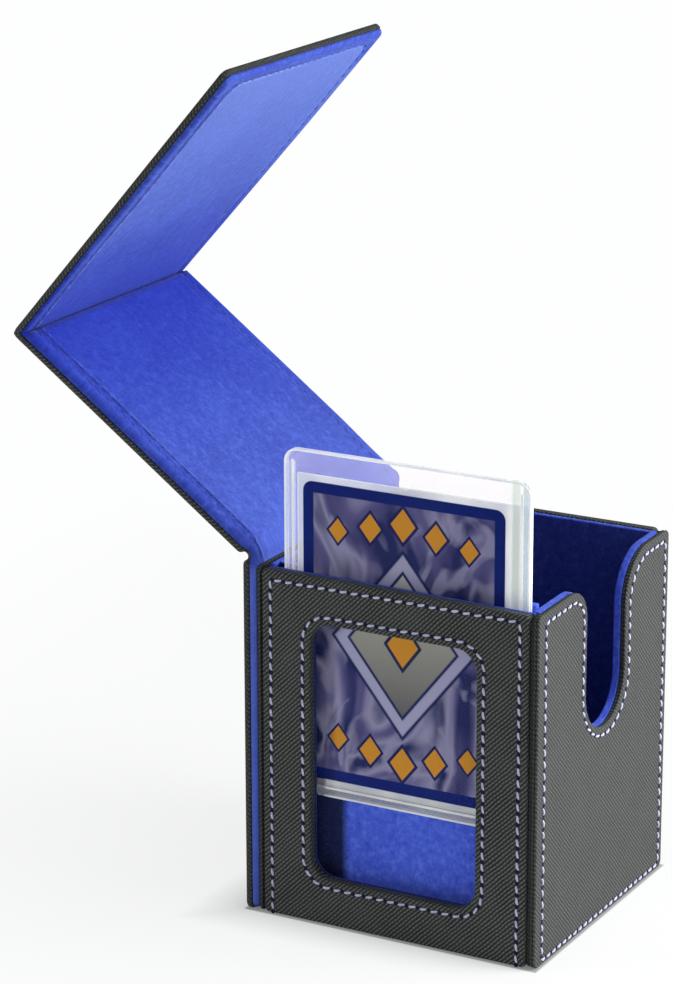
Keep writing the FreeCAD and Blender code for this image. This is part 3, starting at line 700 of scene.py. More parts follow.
def buildBackWall():
    b = backPanel
    left, right = -backHigh.x, -backLow.x
    layer("backLeather", backFace,
          rectanglePath(left + b["sideIn"], right - b["sideIn"], 0.0, caseTop + b["topUp"], 1.5),
          backFace.lifts(backLow, backHigh), wrapped, leather, "ribbed_leather", "back_leather")
    low, high = nodeBox("back_lining")
    layer("backLining", backFace, rectanglePath(-high.x, -low.x, 0.0, caseTop - 0.1, 0.4),
          backFace.lifts(low, high), (0.3, 0.4), paintedShadeLiningSuede, "blue_suede", "back_lining", rim=paintedLightRimSuede)
    seam = archPath(left + b["seamIn"], right - b["seamIn"], seamFoot, caseTop - b["seamDown"], 1.0)
    seamPiece("backStitches", [(seam, False)], backFace)


def buildBase():
    for name, node, rounds, material, slot in (
            ("baseLeather", "base_leather", (0.0, 0.2), leather, "ribbed_leather"),
            ("baseLining", "base_lining", (0.2, 0.0), paintedShadeLiningSuede, "blue_suede")):
        low, high = nodeBox(node)
        layer(name, floorFace, rectanglePath(low.x, high.x, low.y, high.y, 0.3), (high.z, low.z), rounds,
              material, slot, node)


leftPanel = {"corner": 1.6, "frontOut": 0.1, "skinOut": 0.35, "skinIn": 0.7, "coreFrontIn": 0.55,
             "coreDown": 0.2, "coreIn": 0.72}


def buildLeftSlab():
    # the wrapped skin stands up to the cover, and a shadow gap parts it from the front wall
    p = leftPanel
    back, front = -leftHigh.y, -leftLow.y
    # painted shade: the slab's skin is the darker edge leather
    layer("leftSlabLeather", leftFace, rectanglePath(back, front + p["frontOut"], 0.0, caseTop, p["corner"]),
          (p["skinOut"], -p["skinIn"]), (0.45, 0.3), paintedShadeEdgeLeather, "ribbed_leather", "left_slab_leather")
    # painted shadow: the turn-in is the near-black leather, in the gap by the front wall
    layer("leftSlabTurnIn", leftFace,
          rectanglePath(back, front - p["coreFrontIn"], 0.0, caseTop - p["coreDown"], p["corner"]),
          leftFace.lifts(leftLow, leftHigh, -p["coreIn"]), sawn, foldedLeather, "ribbed_leather")
    low, high = nodeBox("left_lining")
    layer("leftLining", leftFace, rectanglePath(-high.y, -low.y, low.z, caseTop - 0.1, 0.5),
          leftFace.lifts(low, high), (0.2, 0.6), paintedShadeLiningSuede, "blue_suede", "left_lining", rim=paintedLightRimSuede)


# right slab with the finger notch
notch = {"centre": 0.85, "width": 25.9, "bottom": 58.2, "frontShoulder": 9.6, "backShoulder": 15.0,
         "seamIn": 2.45, "topFront": 103.35, "topBack": 104.75, "seamTop": 2.75, "seamBottom": 1.5,
         "seamFront": 4.1, "seamBack": 2.9, "skin": 0.75, "turnIn": 1.75, "suedeWrap": 0.95}


def notchedPath(front, back, bottom, drop, corner, inset):
    # the slab's outline seen from outside; drop lowers its sloping top, inset draws it in round the notch
    half = notch["width"] / 2 + inset
    near, far = notch["centre"] - half, notch["centre"] + half
    low = notch["bottom"] - inset
    slope = (notch["topBack"] - notch["topFront"]) / (slabHigh.y - slabLow.y)

    def top(y):
        return notch["topFront"] + slope * (y - slabLow.y) - drop

    return roundedPath([(front, bottom, corner), (back, bottom, corner), (back, top(back), corner),
                        (far, top(far), notch["backShoulder"] - inset), (far, low, half - 0.01),
                        (near, low, half - 0.01), (near, top(near), notch["frontShoulder"] - inset),
                        (front, top(front), corner)])


def buildRightSlab():
    # three layers of leather, the board and the lining, from outside inwards
    skin, turn = notch["skin"], notch["turnIn"]
    front, back = slabLow.y, slabHigh.y
    layer("rightSlabLeather", rightFace, notchedPath(front, back, 0.0, 0.0, 2.0, 0.0), (0.0, -skin),
          (0.5, 0.25), paintedLightSlabLeather, "ribbed_leather", "right_slab_leather", mirror=True)
    # painted shade on the turn-in's rim, from the darker edge leather
    layer("rightSlabTurnIn", rightFace, notchedPath(front + 0.12, back - 0.12, 0.1, 0.12, 1.9, 0.12),
          (-skin - 0.06, -turn), (0.35, 0.3), paintedLightSlabLeather, "ribbed_leather", mirror=True, rim=paintedShadeEdgeLeather)
    # painted shadow: the core is the near-black leather
    layer("rightSlabCore", rightFace, notchedPath(front + 0.6, back - 0.3, 0.1, 0.5, 1.7, 0.5),
          rightFace.lifts(slabLow, slabHigh, -turn - 0.04), sawn, foldedLeather, "ribbed_leather",
          mirror=True)
    low, high = nodeBox("right_slab_board")
    layer("rightSlabBoard", rightFace, notchedPath(low.y, high.y, low.z, 1.1, 1.0, 1.0),
          rightFace.lifts(low, high, 0.0, 0.05), sawn, board, "grey_board", "right_slab_board")
    low, high = nodeBox("right_lining")
    layer("rightLining", rightFace, notchedPath(low.y, high.y, low.z, 0.05, 0.4, 0.0),
          rightFace.lifts(low, high, notch["suedeWrap"]), (0.4, 0.6), paintedShadeLiningSuede, "blue_suede",
          "right_lining", rim=paintedLightRimSuede)
    seam = notchedPath(front + notch["seamFront"], back - notch["seamBack"], notch["seamBottom"],
                       notch["seamTop"], 1.2, notch["seamIn"])
    seamPiece("slabStitches", [(seam, True)], rightFace)


# divider behind the display pocket
def buildDivider():
    low, high = nodeBox("divider_suede")
    sheet = sheetFront(low.y)
    # the divider's suede carries painted light and a painted shadow
    layer("paintedLightDividerSuede", sheet, boxPath(low, high, 0.4), sheet.lifts(low, high), (1.0, 1.0), paintedLightDividerSuede,
          "blue_suede", "divider_suede")
    low, high = nodeBox("divider_board")
    layer("dividerBoard", sheet, rectanglePath(low.x + 0.4, high.x - 0.5, low.z, high.z - 0.7, 0.3),
          sheet.lifts(low, high), sawn, board, "grey_board", "divider_board")


print("walls: building")
buildFrontWall()
buildBackWall()
buildBase()
buildLeftSlab()
buildRightSlab()
buildDivider()


# soft cover
cover = {"outerX": -48.15, "hingeHigh": 106.81, "lidAngle": 143.9, "lidLength": 93.85, "foldPart": 4.2,
         "flapAngle": 48.98, "flapLength": 108.9, "half": 44.2, "suedeInset": 0.35, "corner": 2.5,
         "leather": 1.95, "leatherRim": 0.85, "sideTotal": 3.8, "lidTotalHinge": 3.85, "lidTotalFold": 4.4,
         "flapTotal": 3.5, "flapTotalFold": 2.95, "roll": 1.25, "rollUnder": 0.7, "creaseReach": 0.6,
         "waist": 1.85, "waistReach": 1.05, "waistInner": 0.9, "creaseDip": 0.35, "foldRound": 2.6,
         "foldPull": 0.78, "foldSoft": 1.6, "foldReach": 4.6, "foldDip": 0.9, "seamIn": 3.9, "groove": 0.25,
         "leatherGroove": 0.22, "crown": 0.12, "crownIn": 1.9, "wave": 0.16, "waveLong": 19.0, "edge": 0.95,
         "farTaper": 0.014, "hingeBend": 4.5, "foldBend": 4.2, "foldFromHinge": 94.5, "spacing": 2.2,
         "closest": 0.04}


def direction(angle):
    turn = math.radians(angle)
    return Vector((math.cos(turn), 0.0, math.sin(turn)))


def smoothStep(low, high, value):
    t = min(1.0, max(0.0, (value - low) / (high - low)))
    return t * t * (3 - 2 * t)


def bell(value, width):
    return math.exp(-(value / width) ** 2)


lidWay, lidIn = direction(cover["lidAngle"]), direction(cover["lidAngle"] - 90.0)
flapWay, flapIn = direction(cover["flapAngle"]), direction(cover["flapAngle"] - 90.0)
upWay, sideIn = Vector((0, 0, 1)), Vector((1, 0, 0))
hingeCorner = Vector((cover["outerX"], 0.0, cover["hingeHigh"]))
foldCorner = hingeCorner + lidWay * cover["lidLength"]
foldHalf = math.radians((180.0 - (cover["lidAngle"] - cover["flapAngle"])) / 2)


def lowerPoint(q, y, lift):
    # the side panel has q below 0 and the lid q above 0, with a short curve over the crease
    reach = cover["creaseReach"]
    if q <= -reach:
        spot, inside = hingeCorner + upWay * q, sideIn
    elif q >= reach:
        spot, inside = hingeCorner + lidWay * q, lidIn
    else:
        t = (q + reach) / (2 * reach)
        start, end = hingeCorner - upWay * reach, hingeCorner + lidWay * reach
        spot = start * (1 - t) ** 2 + hingeCorner * 2 * t * (1 - t) + end * t ** 2
        way = ((hingeCorner - start) * (1 - t) + (end - hingeCorner) * t).normalized()
        inside = Vector((way.z, 0.0, -way.x))
    if q > 0 and y > 0:
        y *= 1 - cover["farTaper"] * smoothStep(0.0, 6.0, q) * (1 - smoothStep(8.0, 24.0, q))
    return Vector((spot.x, y, spot.z)) * mm + inside * (lift * mm)


def upperPoint(q, y, lift):
    # the fold strip has q below 0, on the lid's side of the fold, and the flap q above 0
    way, inside = (flapWay, flapIn) if q >= 0 else (-lidWay, lidIn)
    along = max(abs(q), lift / math.tan(foldHalf))
    spot = foldCorner + way * along + inside * lift
    if abs(q) < cover["foldRound"] and lift < cover["foldSoft"]:
        pull = (1 - abs(q) / cover["foldRound"]) ** 2 * cover["foldPull"]
        spot = spot + (flapWay - lidWay).normalized() * pull * (1 - max(0.0, lift) / cover["foldSoft"])
    if q > 0 and y > 0:
        y *= 1 + cover["farTaper"] * smoothStep(0.0, 30.0, q)
    return Vector((spot.x, y, spot.z)) * mm


# ends are the places where a strip's ends are free, with None where it goes on
def edgeDistance(q, y, ends, half):
    across = half - abs(y)
    distances = [across]
    corner = cover["corner"]
    for end in ends:
        if end is None:
            continue
        along = abs(q - end)
        if along < corner and across < corner:
            distances.append(corner - math.hypot(corner - along, corner - across))
        distances.append(along)
    return max(0.0, min(distances))


def rimDrop(distance, radius):
    if distance >= radius:
        return 0.0
    return -radius + math.sqrt(max(0.0, radius ** 2 - (radius - distance) ** 2))


def waistShare(q, ends):
    # the strip is pinched where the side panel meets the lid
    return bell(q, cover["waistReach"]) if ends[1] is None else 0.0


def leatherTop(q, ends):
    return cover["leather"] + cover["waistInner"] * waistShare(q, ends)


def leatherLift(q, y, ends):
    # the leather's outer face
    distance = edgeDistance(q, y, ends, cover["half"])
    groove = cover["leatherGroove"] * bell(distance - cover["seamIn"], 0.6) * smoothStep(1.5, 3.0, distance)
    lift = -rimDrop(distance, cover["leatherRim"]) + groove + cover["waist"] * waistShare(q, ends)
    return min(lift, leatherTop(q, ends) - 0.55)


def leatherInner(q, y, ends):
    return leatherTop(q, ends) + rimDrop(edgeDistance(q, y, ends, cover["half"]), 0.45) * 0.8


def suedeUnder(q, y, ends):
    distance = edgeDistance(q, y, ends, cover["half"] - cover["suedeInset"])
    return leatherTop(q, ends) - 0.12 - rimDrop(distance, cover["rollUnder"]) * 1.05


def lowerTotal(q):
    c = cover
    lid = c["lidTotalHinge"] + (c["lidTotalFold"] - c["lidTotalHinge"]) * max(0.0, q) / c["lidLength"]
    flat = c["sideTotal"] + (lid - c["sideTotal"]) * smoothStep(-4.0, 4.0, q)
    return flat - c["creaseDip"] * (1 - smoothStep(0.4, 4.5, abs(q)))


def upperTotal(q):
    # the flap's lining is thinner near the fold, where it has to clear the right slab
    c = cover
    flap = c["flapTotalFold"] + (c["flapTotal"] - c["flapTotalFold"]) * smoothStep(10.0, 80.0, q)
    flat = c["lidTotalFold"] if q < 0 else flap
    return flat - (flat - c["leather"] - c["foldDip"]) * (1 - smoothStep(0.4, c["foldReach"], abs(q)))


def suedeLift(q, y, ends):
    # height of the suede above the leather's outer face
    c = cover
    distance = edgeDistance(q, y, ends, c["half"] - c["suedeInset"])
    full = lowerTotal(q) if ends[1] is None else upperTotal(q)
    roll = rimDrop(distance, min(c["roll"], (full - c["leather"]) * 0.66))
    groove = c["groove"] * bell(distance - c["seamIn"], 0.6)
    crown = c["crown"] * bell(distance - c["crownIn"], 1.0)
    wave = c["wave"] * noise.noise(Vector((q / c["waveLong"], y / c["waveLong"], 2.7)))
    return full + roll - groove + crown + wave * smoothStep(0.0, 6.0, distance)


rimSteps = (0.0, 0.06, 0.18, 0.35, 0.6, 0.9, 1.25, 1.7, 2.3, 3.0, 3.5, 3.9, 4.3, 5.0)
sideSteps = rimSteps + (6.5, 9.0, 12.0, 15.5, 19.5, 24.0, 28.5, 33.5, 38.5)


def stations(low, high, ends, creases):
    # places along the strip: close together at free ends and creases
    marks = set(creases)
    for end, place, sign in zip(ends, (low, high), (1, -1)):
        marks.update(place + sign * step for step in ((0.0,) if end is None else rimSteps + (6.2,)))
    steps = int((high - low) / cover["spacing"])
    marks.update(low + (high - low) * k / steps for k in range(1, steps))
    ordered = sorted(marks)
    kept = [ordered[0]]
    for mark in ordered[1:]:
        if mark - kept[-1] > cover["closest"]:
            kept.append(mark)
    return kept


def stripMesh(name, places, half, corner, ends, lifts, point, materials):
    # a soft strip along q: a lower and an upper skin joined round the rim; a second material, a darker copy
    # painting shade, goes on the rim
    bm = bmesh.new()
    uv = bm.loops.layers.uv.new("flat")
    flat = {}
    skins = ([], [])
    free = [end for end in ends if end is not None]
    for q in places:
        width = half
        for end in free:
            if abs(q - end) < corner:
                width = half - corner + math.sqrt(max(0.0, corner ** 2 - (corner - abs(q - end)) ** 2))
        ys = [-(width - step * width / half) for step in sideSteps] + [0.0]
        ys += [-y for y in reversed(ys[:-1])]
        pastEnd = 1 if q > (places[0] + places[-1]) / 2 else -1
        pastEnd *= min(abs(q - places[0]), abs(q - places[-1])) < 1.0
        for skin, lift in zip(skins, lifts):
            row = []
            for y in ys:
                height = lift(q, y, ends)
                rise = max(0.0, height - lifts[0](q, 0.0, ends))
                row.append(bm.verts.new(point(q, y, height)))
                flat[row[-1]] = ((q + rise * pastEnd) / uvSpan, (y + math.copysign(rise, y)) / uvSpan)
            skin.append(row)
    lower, upper = skins
    quads = []
    for skin in skins:
        for first, second in zip(skin, skin[1:]):
            quads += [(first[k], first[k + 1], second[k + 1], second[k]) for k in range(len(first) - 1)]
    for first, second, third, fourth in zip(lower, lower[1:], upper, upper[1:]):
        quads += [(first[k], second[k], fourth[k], third[k]) for k in (0, -1)]
    for under, over in ((lower[0], upper[0]), (lower[-1], upper[-1])):
        quads += [(under[j], under[j + 1], over[j + 1], over[j]) for j in range(len(under) - 1)]
    for face in [bm.faces.new(quad) for quad in quads]:
        for loop in face.loops:
            loop[uv].uv = flat[loop.vert]
        # painted shade: the rim faces get the darker edge leather
        if len(materials) > 1:
            middle = face.calc_center_median().y / mm
            q = sum(flat[loop.vert][0] for loop in face.loops) / len(face.loops) * uvSpan
            nearEnd = any(abs(q - end) < cover["edge"] + 0.6 for end in free)
            face.material_index = 1 if half - abs(middle) < cover["edge"] or nearEnd else 0
    return dressMesh(name, bm, materials)


def softPiece(piece, slot, bodies, start, end, *nodes):
    if nodes:
        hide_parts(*nodes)
    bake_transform(piece)


hingeBend, foldBend = cover["hingeBend"], cover["foldBend"]
foldEdge = hingeLine + lidWay * cover["foldFromHinge"]
lowerStrip = {"low": -cover["hingeHigh"], "high": cover["lidLength"] - cover["foldPart"],
              "free": (True, False), "creases": [k * 0.15 for k in range(-30, 31)], "point": lowerPoint,
              "bodies": ("case", "lid"), "bend": (tuple((hingeLine - upWay * hingeBend) * mm),
                                                  tuple((hingeLine + lidWay * hingeBend) * mm))}
upperStrip = {"low": -cover["foldPart"], "high": cover["flapLength"], "free": (False, True),
              "creases": [side * step for side in (-1, 1)
                          for step in (0.0, 0.1, 0.25, 0.5, 0.8, 1.1, 1.5, 2.0, 2.6, 3.4, 4.0)],
              "point": upperPoint, "bodies": ("fold", "flap"),
              "bend": (tuple((foldEdge - lidWay * foldBend) * mm),
                       tuple((foldEdge + flapWay * foldBend) * mm))}


def stripEnds(strip, inset):
    low, high = strip["low"] + inset * strip["free"][0], strip["high"] - inset * strip["free"][1]
    return low, high, tuple(end if free else None for end, free in zip((low, high), strip["free"]))


def buildStrip(name, strip, inset, lifts, materials, slot, *nodes):
    low, high, ends = stripEnds(strip, inset)
    piece = stripMesh(name, stations(low, high, ends, strip["creases"]), cover["half"] - inset,
                      cover["corner"] - inset, ends, lifts, strip["point"], materials)
    softPiece(piece, slot, strip["bodies"], *strip["bend"], *nodes)


def coverSeam(name, strip, path, onSuede):
    # one row of stitches, pressed into the suede inside or standing out of the leather outside
    point = strip["point"]
    ends = stripEnds(strip, cover["suedeInset"] if onSuede else 0.0)[2]

    def pressed(q, y, lift):
        return point(q, y, lift - 0.1 + suedeLift(q, y, ends))

    def standing(q, y, lift):
        return point(q, y, leatherLift(q, y, ends) - lift)

    if onSuede:
        return stitchPiece(name, [(path, False)], pressed, blueThread, suedeDimple, 0.75, 0.01)
    return stitchPiece(name, [(path, False)], standing, thread, needleHole)


def buildCover():
    inset = cover["suedeInset"]
    outer, inner = (leatherLift, leatherInner), (suedeUnder, suedeLift)
    # the cover's rims get the darker edge leather, painted shade
    buildStrip("coverSideAndLidLeather", lowerStrip, 0.0, outer, [leather, paintedShadeEdgeLeather], "ribbed_leather",
               "cover_side_leather", "lid_leather")
    buildStrip("coverSideAndLidSuede", lowerStrip, inset, inner, [lidSuede], "blue_suede",
               "cover_side_suede", "lid_suede")
    buildStrip("foldAndFlapLeather", upperStrip, 0.0, outer, [leather, paintedShadeEdgeLeather], "ribbed_leather",
               "fold_leather", "flap_leather")
    buildStrip("foldAndFlapSuede", upperStrip, inset, inner, [flapSuede], "blue_suede",
               "fold_suede", "flap_suede")


def buildCoverStitches():
    edge = cover["half"] - cover["seamIn"] - cover["suedeInset"]
    foot, top = lowerStrip["high"] - seamFoot, lowerStrip["low"] + cover["seamIn"]
    around = [Vector((p.y, p.x)) for p in archPath(-edge, edge, foot, top, 1.5)]
    rows = coverSeam("sideAndLidSuedeStitches", lowerStrip, around, True)
    softPiece(rows, "blue_suede", lowerStrip["bodies"], *lowerStrip["bend"])
    rows = coverSeam("sideAndLidLeatherStitches", lowerStrip, around, False)
    softPiece(rows, "ribbed_leather", lowerStrip["bodies"], *lowerStrip["bend"])
    foot, top = 6.0, cover["flapLength"] - cover["seamIn"] - cover["suedeInset"]
    around = [Vector((p.y, p.x)) for p in archPath(-edge, edge, foot, top, 5.0)]
    settle(coverSeam("flapSuedeStitches", upperStrip, around, True), "flap", "blue_suede")
    settle(coverSeam("flapLeatherStitches", upperStrip, around, False), "flap", "ribbed_leather")


lidStiffener = {"from": 4.5, "to": 88.5, "half": 42.2, "corner": 1.0, "lifts": (3.25, 2.05)}


def buildLidBoard():
    s = lidStiffener
    layer("lidBoard", Sheet(hingeCorner, lidWay, (0, 1, 0), lidIn),
          rectanglePath(s["from"], s["to"], -s["half"], s["half"], s["corner"]), s["lifts"], sawn, board,
          "grey_board", "lid_board", body="lid")


print("cover: building")
buildLidBoard()
buildCover()
buildCoverStitches()


# card and toploader
cardPrint = {"border": (0.004, 0.018, 0.19), "borderWidth": 3.4, "pale": (0.34, 0.33, 0.52),
             "violet": (0.13, 0.12, 0.30), "deep": (0.022, 0.030, 0.14), "amber": (0.75, 0.33, 0.035),
             "lilac": (0.44, 0.44, 0.66), "silver": (0.40, 0.40, 0.36), "silverLow": (0.16, 0.16, 0.17),
             "silverHigh": (0.62, 0.62, 0.62), "frame": (0.012, 0.022, 0.12),
             "middleFrame": (0.02, 0.03, 0.10), "smallFrame": (0.012, 0.02, 0.12),
             "outerSize": (22.5, 28.0), "innerSize": (17.5, 22.0), "middleSize": (6.0, 8.0), "step": 10.2,
             "rowHeight": 35.0, "rowFall": 2.2, "smallHalf": 6.2, "smallFall": 0.8, "slim": 0.8,
             "sheenHalf": 24.0}


def cardMaterial():
    # a plain printed back: a deep blue border round a marbled field with lozenges
    c = cardPrint
    n = Nodes("cardPrint")
    low, high = nodeBox("card")
    middle, half = (low + high) / 2, (high - low) / 2
    spot = n.place()
    flat = n.axes(spot)
    a, b = n.minus(flat[0], middle.x), n.minus(flat[2], middle.z)
    rimA = n.minus(half.x - c["borderWidth"], n.size(a))
    rimB = n.minus(half.z - c["borderWidth"], n.size(b))
    inside = n.spread(n.math("MINIMUM", rimA, rimB), 0.0, 1.0, -0.12, 0.12)
    swirl = n.noise(n.scaled(spot, 1.0, 1.0, 0.6), 0.045, 2.0, 0.45, 1.6)
    vein = n.noise(n.scaled(spot, 0.8, 1.0, 0.5), 0.075, 1.5, 0.5, 2.4)
    field = n.ramp(swirl, (0.34, c["deep"]), (0.47, c["violet"]), (0.56, c["pale"]), (0.66, c["deep"]))
    field = n.mix(n.spread(vein, 0.0, 0.8, 0.55, 0.66), field, c["pale"])

    def lozenge(under, placeA, placeB, reachA, reachB, frameColor, fill, frameShare):
        away = n.plus(n.math("DIVIDE", n.size(n.minus(a, placeA)), reachA),
                      n.math("DIVIDE", n.size(n.minus(b, placeB)), reachB))
        whole = n.spread(away, 1.0, 0.0, 0.985, 1.015)
        core = n.spread(away, 1.0, 0.0, 0.985 - frameShare, 1.015 - frameShare)
        return n.mix(core, n.mix(whole, under, frameColor), fill)

    sheen = n.ramp(n.spread(b, 0.0, 1.0, -c["sheenHalf"], c["sheenHalf"]), (0.1, c["silverLow"]),
                   (0.55, c["silver"]), (0.95, c["silverHigh"]))
    field = lozenge(field, 0.0, 0.0, *c["outerSize"], c["frame"], c["lilac"], 0.05)
    field = lozenge(field, 0.0, 0.0, *c["innerSize"], c["frame"], sheen, 0.06)
    field = lozenge(field, 0.0, 0.0, *c["middleSize"], c["middleFrame"], c["amber"], 0.2)
    for sign in (-1, 1):
        for step in (-2, -1, 0, 1, 2):
            reach = c["smallHalf"] - abs(step) * c["smallFall"]
            height = sign * (c["rowHeight"] - abs(step) * c["rowFall"])
            field = lozenge(field, step * c["step"], height, reach * c["slim"], reach, c["smallFrame"],
                            c["amber"], 0.22)
    grain = n.noise(spot, 3.0, 2.0)
    return n.shader(Base_Color=n.mix(inside, c["border"], field), Roughness=n.spread(grain, 0.50, 0.60),
                    Normal=n.bump(grain, 0.00003, 0.3), Specular_IOR_Level=0.05)


# paintedGlow is emission that makes the frosted plastic glow like lit plastic
frosted = {"color": (0.93, 0.96, 0.97), "shade": (0.70, 0.74, 0.80), "paintedGlow": 0.25, "shadeTo": (-25.6, -24.4),
           "shadeUpTo": (96.0, 104.0)}


def frostedMaterial(name, alphaLow, alphaHigh):
    # painted shadow of the window's left edge: inside the case it shows less near the left end
    n = Nodes(name)
    spot = n.place()
    flat = n.axes(spot)
    cloud = n.noise(n.scaled(spot, 0.4, 1.0, 0.4), 0.12, 2.0)
    paintedShadowFade = n.most(n.spread(flat[0], 0.12, 1.0, *frosted["shadeTo"]),
                   n.spread(flat[2], 0.0, 1.0, *frosted["shadeUpTo"]))
    alpha = n.times(n.spread(cloud, alphaLow, alphaHigh, 0.3, 0.7), paintedShadowFade)
    color = n.mix(n.spread(cloud, 0.0, 1.0, 0.35, 0.65), frosted["shade"], frosted["color"])
    return n.shader(Base_Color=color, Roughness=0.3, Alpha=alpha, Normal=n.bump(cloud, 0.0002, 0.3),
                    Emission_Color=(*frosted["color"], 1.0), Emission_Strength=paintedGlowStrength(n, frosted["paintedGlow"]))


def wirePiece(name, loop, closed, sheet, lift, width, height, material):
    # a thin flat thread of plastic along the loop
    section = ((-1, -0.5), (-0.5, -1), (0.5, -1), (1, -0.5), (1, 0.5), (0.5, 1), (-0.5, 1), (-1, 0.5))
    bm = bmesh.new()
    rows = []
    count = len(loop)
    for index, here in enumerate(loop):
        before = loop[index - 1] if closed or index else here
        after = loop[(index + 1) % count] if closed or index < count - 1 else here
        way = (after - before).normalized()
        across = Vector((-way.y, way.x))
        rows.append([bm.verts.new(sheet.at(*(here + across * side * width / 2), lift + rise * height / 2))
                     for side, rise in section])
    joinRings(bm, rows, closed)
    return dressMesh(name, bm, [material])


clearSheets = {"weldIn": 2.7, "weldTop": 3.2, "weldCorner": 0.8, "weldWidth": 0.8, "rimWidth": 0.6,
               "rimLift": 0.16, "corner": 4.0, "edgeRound": (0.12, 0.0)}


def buildToploader():
    c = clearSheets
    rimPlastic = frostedMaterial("brightEdge", 0.85, 1.0)
    bandPlastic = frostedMaterial("sleeveBand", 0.62, 0.82)
    backRimPlastic = frostedMaterial("backEdge", 0.30, 0.50)

    def clearLayer(*settings, **extra):
        layer(*settings, body="toploader", thin=True, **extra)

    def wire(name, slot, *shape):
        settle(wirePiece(name, *shape), "toploader", slot)

    low, high = nodeBox("toploader_front_sheet")
    farLow, farHigh = nodeBox("toploader_back_sheet")
    front, back = sheetFront(low.y), sheetBack(farHigh.y)
    clearLayer("toploaderFrontClear", front, boxPath(low, high, c["corner"]), front.lifts(low, high),
               c["edgeRound"], sheetPlastic, "clear_sheet", "toploader_front_sheet")
    clearLayer("toploaderBackClear", back, boxPath(low, high, c["corner"], flip=True),
               back.lifts(farLow, farHigh), c["edgeRound"], backSheetPlastic, "clear_sheet",
               "toploader_back_sheet")
    inset = c["rimWidth"] / 2
    outer = boxPath(low, high, c["corner"] - inset, inset)
    for name, lift, material in (("toploaderFrontRim", -c["rimLift"], rimPlastic),
                                 ("toploaderBackRim", low.y - farHigh.y + c["rimLift"], backRimPlastic)):
        wire(name, "clear_sheet", outer, True, front, lift, c["rimWidth"], 0.30, material)
    weld = archPath(low.x + c["weldIn"], high.x - c["weldIn"], high.z - c["weldTop"], low.z + c["weldIn"],
                    c["weldCorner"])
    wire("toploaderWeldLine", "clear_sheet", weld, False, front, -0.3, c["weldWidth"], 0.26, rimPlastic)

    low, high = nodeBox("penny_sleeve")
    sleeve = sheetFront(low.y)
    clearLayer("sleeveFilmFront", sleeve, boxPath(low, high, 0.3), sleeve.lifts(low, high), (0.05, 0.0),
               sleeveFilm, "sleeve_film", "penny_sleeve")
    clearLayer("sleeveBand", sleeve, boxPath(low, high, 0.4, 0.1), (-0.04, -0.1), (0.02, 0.0), bandPlastic,
               "sleeve_film", holes=[boxPath(*nodeBox("card"), 3.0, 0.15)])
    wire("sleeveRim", "sleeve_film", boxPath(low, high, 0.4, 0.2), True, sleeve, -0.06, 0.3, 0.10, rimPlastic)


def buildWindowPane():
    low, high = nodeBox("window_pane")
    sheet = sheetFront(low.y)
    layer("windowPaneClear", sheet, boxPath(low, high, 1.0), sheet.lifts(low, high, -0.02), (0.1, 0.0),
          panePlastic, "clear_pane", "window_pane", thin=True)


print("toploader and card: building")
buildToploader()
buildWindowPane()

clearFinish = {"window_pane": panePlastic, "toploader_front_sheet": sheetPlastic,
               "toploader_back_sheet": sheetPlastic, "toploader_edge": weldPlastic,
               "penny_sleeve": sleeveFilm, "card": cardMaterial()}


def nodeFinish(name):
    for word, finish in (("board", board), ("magnets", magnetSteel), ("leather", leather)):
        if word in name:
            return finish
    return clearFinish.get(name, suede)


for name, node in frame["nodes"].items():
    for slot in node.material_slots:
        slot.material = nodeFinish(name)
    if not node.material_slots:
        node.data.materials.append(nodeFinish(name))
print("finishes: every node has its own material")


# studio
paperWhite = (0.985, 0.995, 0.99)
studio = {"white": (0.93, 0.94, 0.94), "contact": 0.45, "paintedContactShadow": (0.05, 0.05, 0.06), "floorLift": 0.84,
          "floorReach": 4.0, "floorDrop": 0.0002, "footX": 46.0, "footXShift": 2.2, "footY": 43.1,
          "nearTo": 16.0, "farFrom": 30.0, "farTo": 260.0, "line": (0.3, 1.0),
          "world": 0.155, "worldTone": (0.96, 0.98, 1.0), "lampTone": (1.0, 0.995, 0.985),
          "key": {"place": (0.50, 0.12, 0.33), "aim": (0.0, 0.0, 0.10), "size": 0.45, "power": 4.6},
          "top": {"place": (0.20, -0.05, 0.80), "aim": (0.0, 0.0, 0.05), "size": 0.6, "power": 1.7},
          "front": {"place": (-0.31, -0.30, 0.16), "aim": (-0.02, 0.0, 0.07), "size": 0.06, "power": 0.42}}


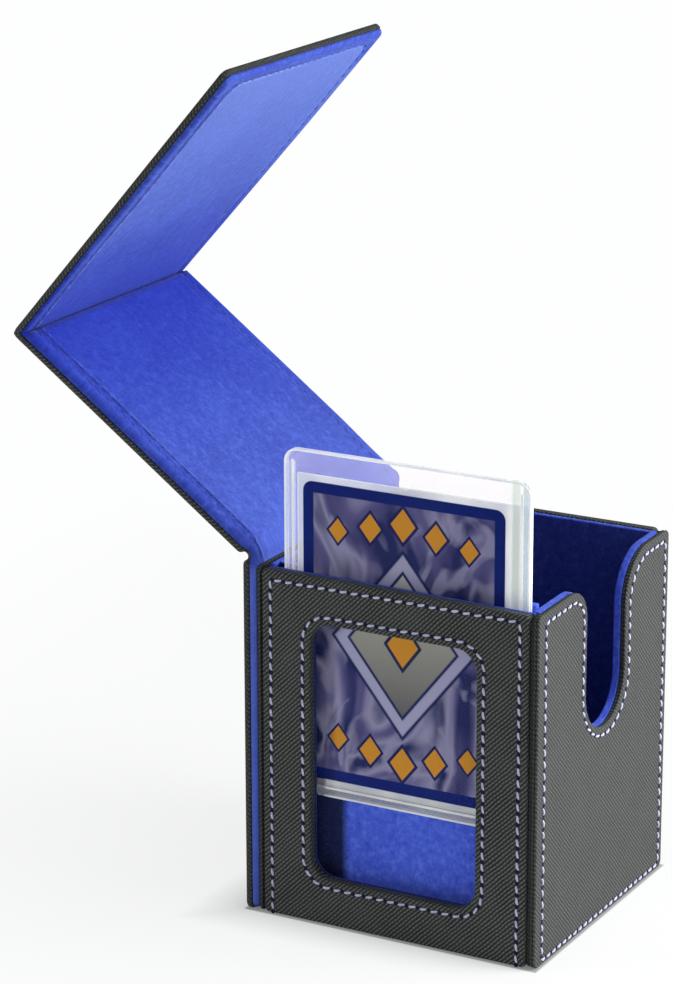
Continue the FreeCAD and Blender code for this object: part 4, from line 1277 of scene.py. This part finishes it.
def buildFloor():
    # the floor is lit by the lamps near the case and turns plain white for the camera further out; a painted
    # contact shadow darkens it right at the case's foot
    n = Nodes("paleFloor")
    spot = n.place()
    flat = n.axes(spot)
    away = n.most(n.minus(n.size(n.plus(flat[0], studio["footXShift"])), studio["footX"]),
                  n.minus(n.size(flat[1]), studio["footY"]))
    white = n.mix(n.noise(spot, 0.02, 2.0), studio["white"], toned(studio["white"], 0.985))
    # painted contact shadow right at the case's foot
    color = n.mix(n.spread(away, 0.7, 0.0, *studio["line"]), white, studio["paintedContactShadow"])
    near = n.times(n.spread(away, studio["contact"], studio["floorLift"], 0.0, studio["nearTo"]),
                   n.spread(away, 0.4, 1.0, *studio["line"]))
    far = n.spread(away, 0.0, 1.0 - studio["floorLift"], studio["farFrom"], studio["farTo"])
    path = n.add("LightPath")
    seen = n.most(path["Is Camera Ray"], n.most(path["Is Glossy Ray"], path["Is Transmission Ray"]))
    lit, plain = n.add("BsdfDiffuse", {"Color": color})[0], n.light("Emission", paperWhite, 1.0)
    paper = n.surface(n.mixShaders(n.times(seen, n.plus(near, far)), lit, plain))
    bm = bmesh.new()
    bmesh.ops.create_grid(bm, x_segments=8, y_segments=8, size=studio["floorReach"])
    floor = dressMesh("studioFloor", bm, [paper], smooth=False)
    floor.location = (0.0, 0.0, -studio["floorDrop"])


def buildLights():
    n = Nodes("studioWorld", world=True)
    light = n.light("Background", studio["worldTone"], studio["world"])
    plain = n.light("Background", paperWhite, 1.0)
    world = n.surface(n.mixShaders(n.add("LightPath")["Is Camera Ray"], light, plain))
    bpy.context.scene.world = world
    for name in ("key", "top", "front"):
        lamp = studio[name]
        data = bpy.data.lights.new(name + "Lamp", "AREA")
        data.shape = "DISK"
        data.size, data.energy, data.color = lamp["size"], lamp["power"], studio["lampTone"]
        holder = bpy.data.objects.new(name + "Lamp", data)
        bpy.context.scene.collection.objects.link(holder)
        holder.location = lamp["place"]
        aim = Vector(lamp["aim"]) - Vector(lamp["place"])
        holder.rotation_euler = aim.to_track_quat("-Z", "Y").to_euler()


viewpoint = {"azimuth": 28.898, "elevation": 16.889, "roll": -0.149, "distance": 1037.416,
             "focalPixels": 3589.035, "imageHeight": 984.0, "sensor": 36.0, "target": (-42.271, 0.0, 114.868)}


def buildCamera():
    v = viewpoint
    a, e, r = (math.radians(v[key]) for key in ("azimuth", "elevation", "roll"))
    back = Vector((math.sin(a) * math.cos(e), -math.cos(a) * math.cos(e), math.sin(e)))
    right = Vector((math.cos(a), math.sin(a), 0.0))
    up = right.cross(-back)
    data = bpy.data.cameras.new("photoCamera")
    data.sensor_fit = "VERTICAL"
    data.sensor_height = v["sensor"]
    data.lens = v["focalPixels"] / v["imageHeight"] * v["sensor"]
    data.clip_start, data.clip_end = 0.05, 20.0
    camera = bpy.data.objects.new("photoCamera", data)
    bpy.context.scene.collection.objects.link(camera)
    rightRolled, upRolled = right * math.cos(r) + up * math.sin(r), up * math.cos(r) - right * math.sin(r)
    turn = Matrix((rightRolled, upRolled, back)).transposed().to_4x4()
    camera.matrix_world = Matrix.Translation((Vector(v["target"]) + back * v["distance"]) * mm) @ turn
    bpy.context.scene.camera = camera


buildFloor()
buildLights()
buildCamera()
bpy.context.scene.view_settings.view_transform = "Standard"
print("studio: floor, lamps and camera ready")
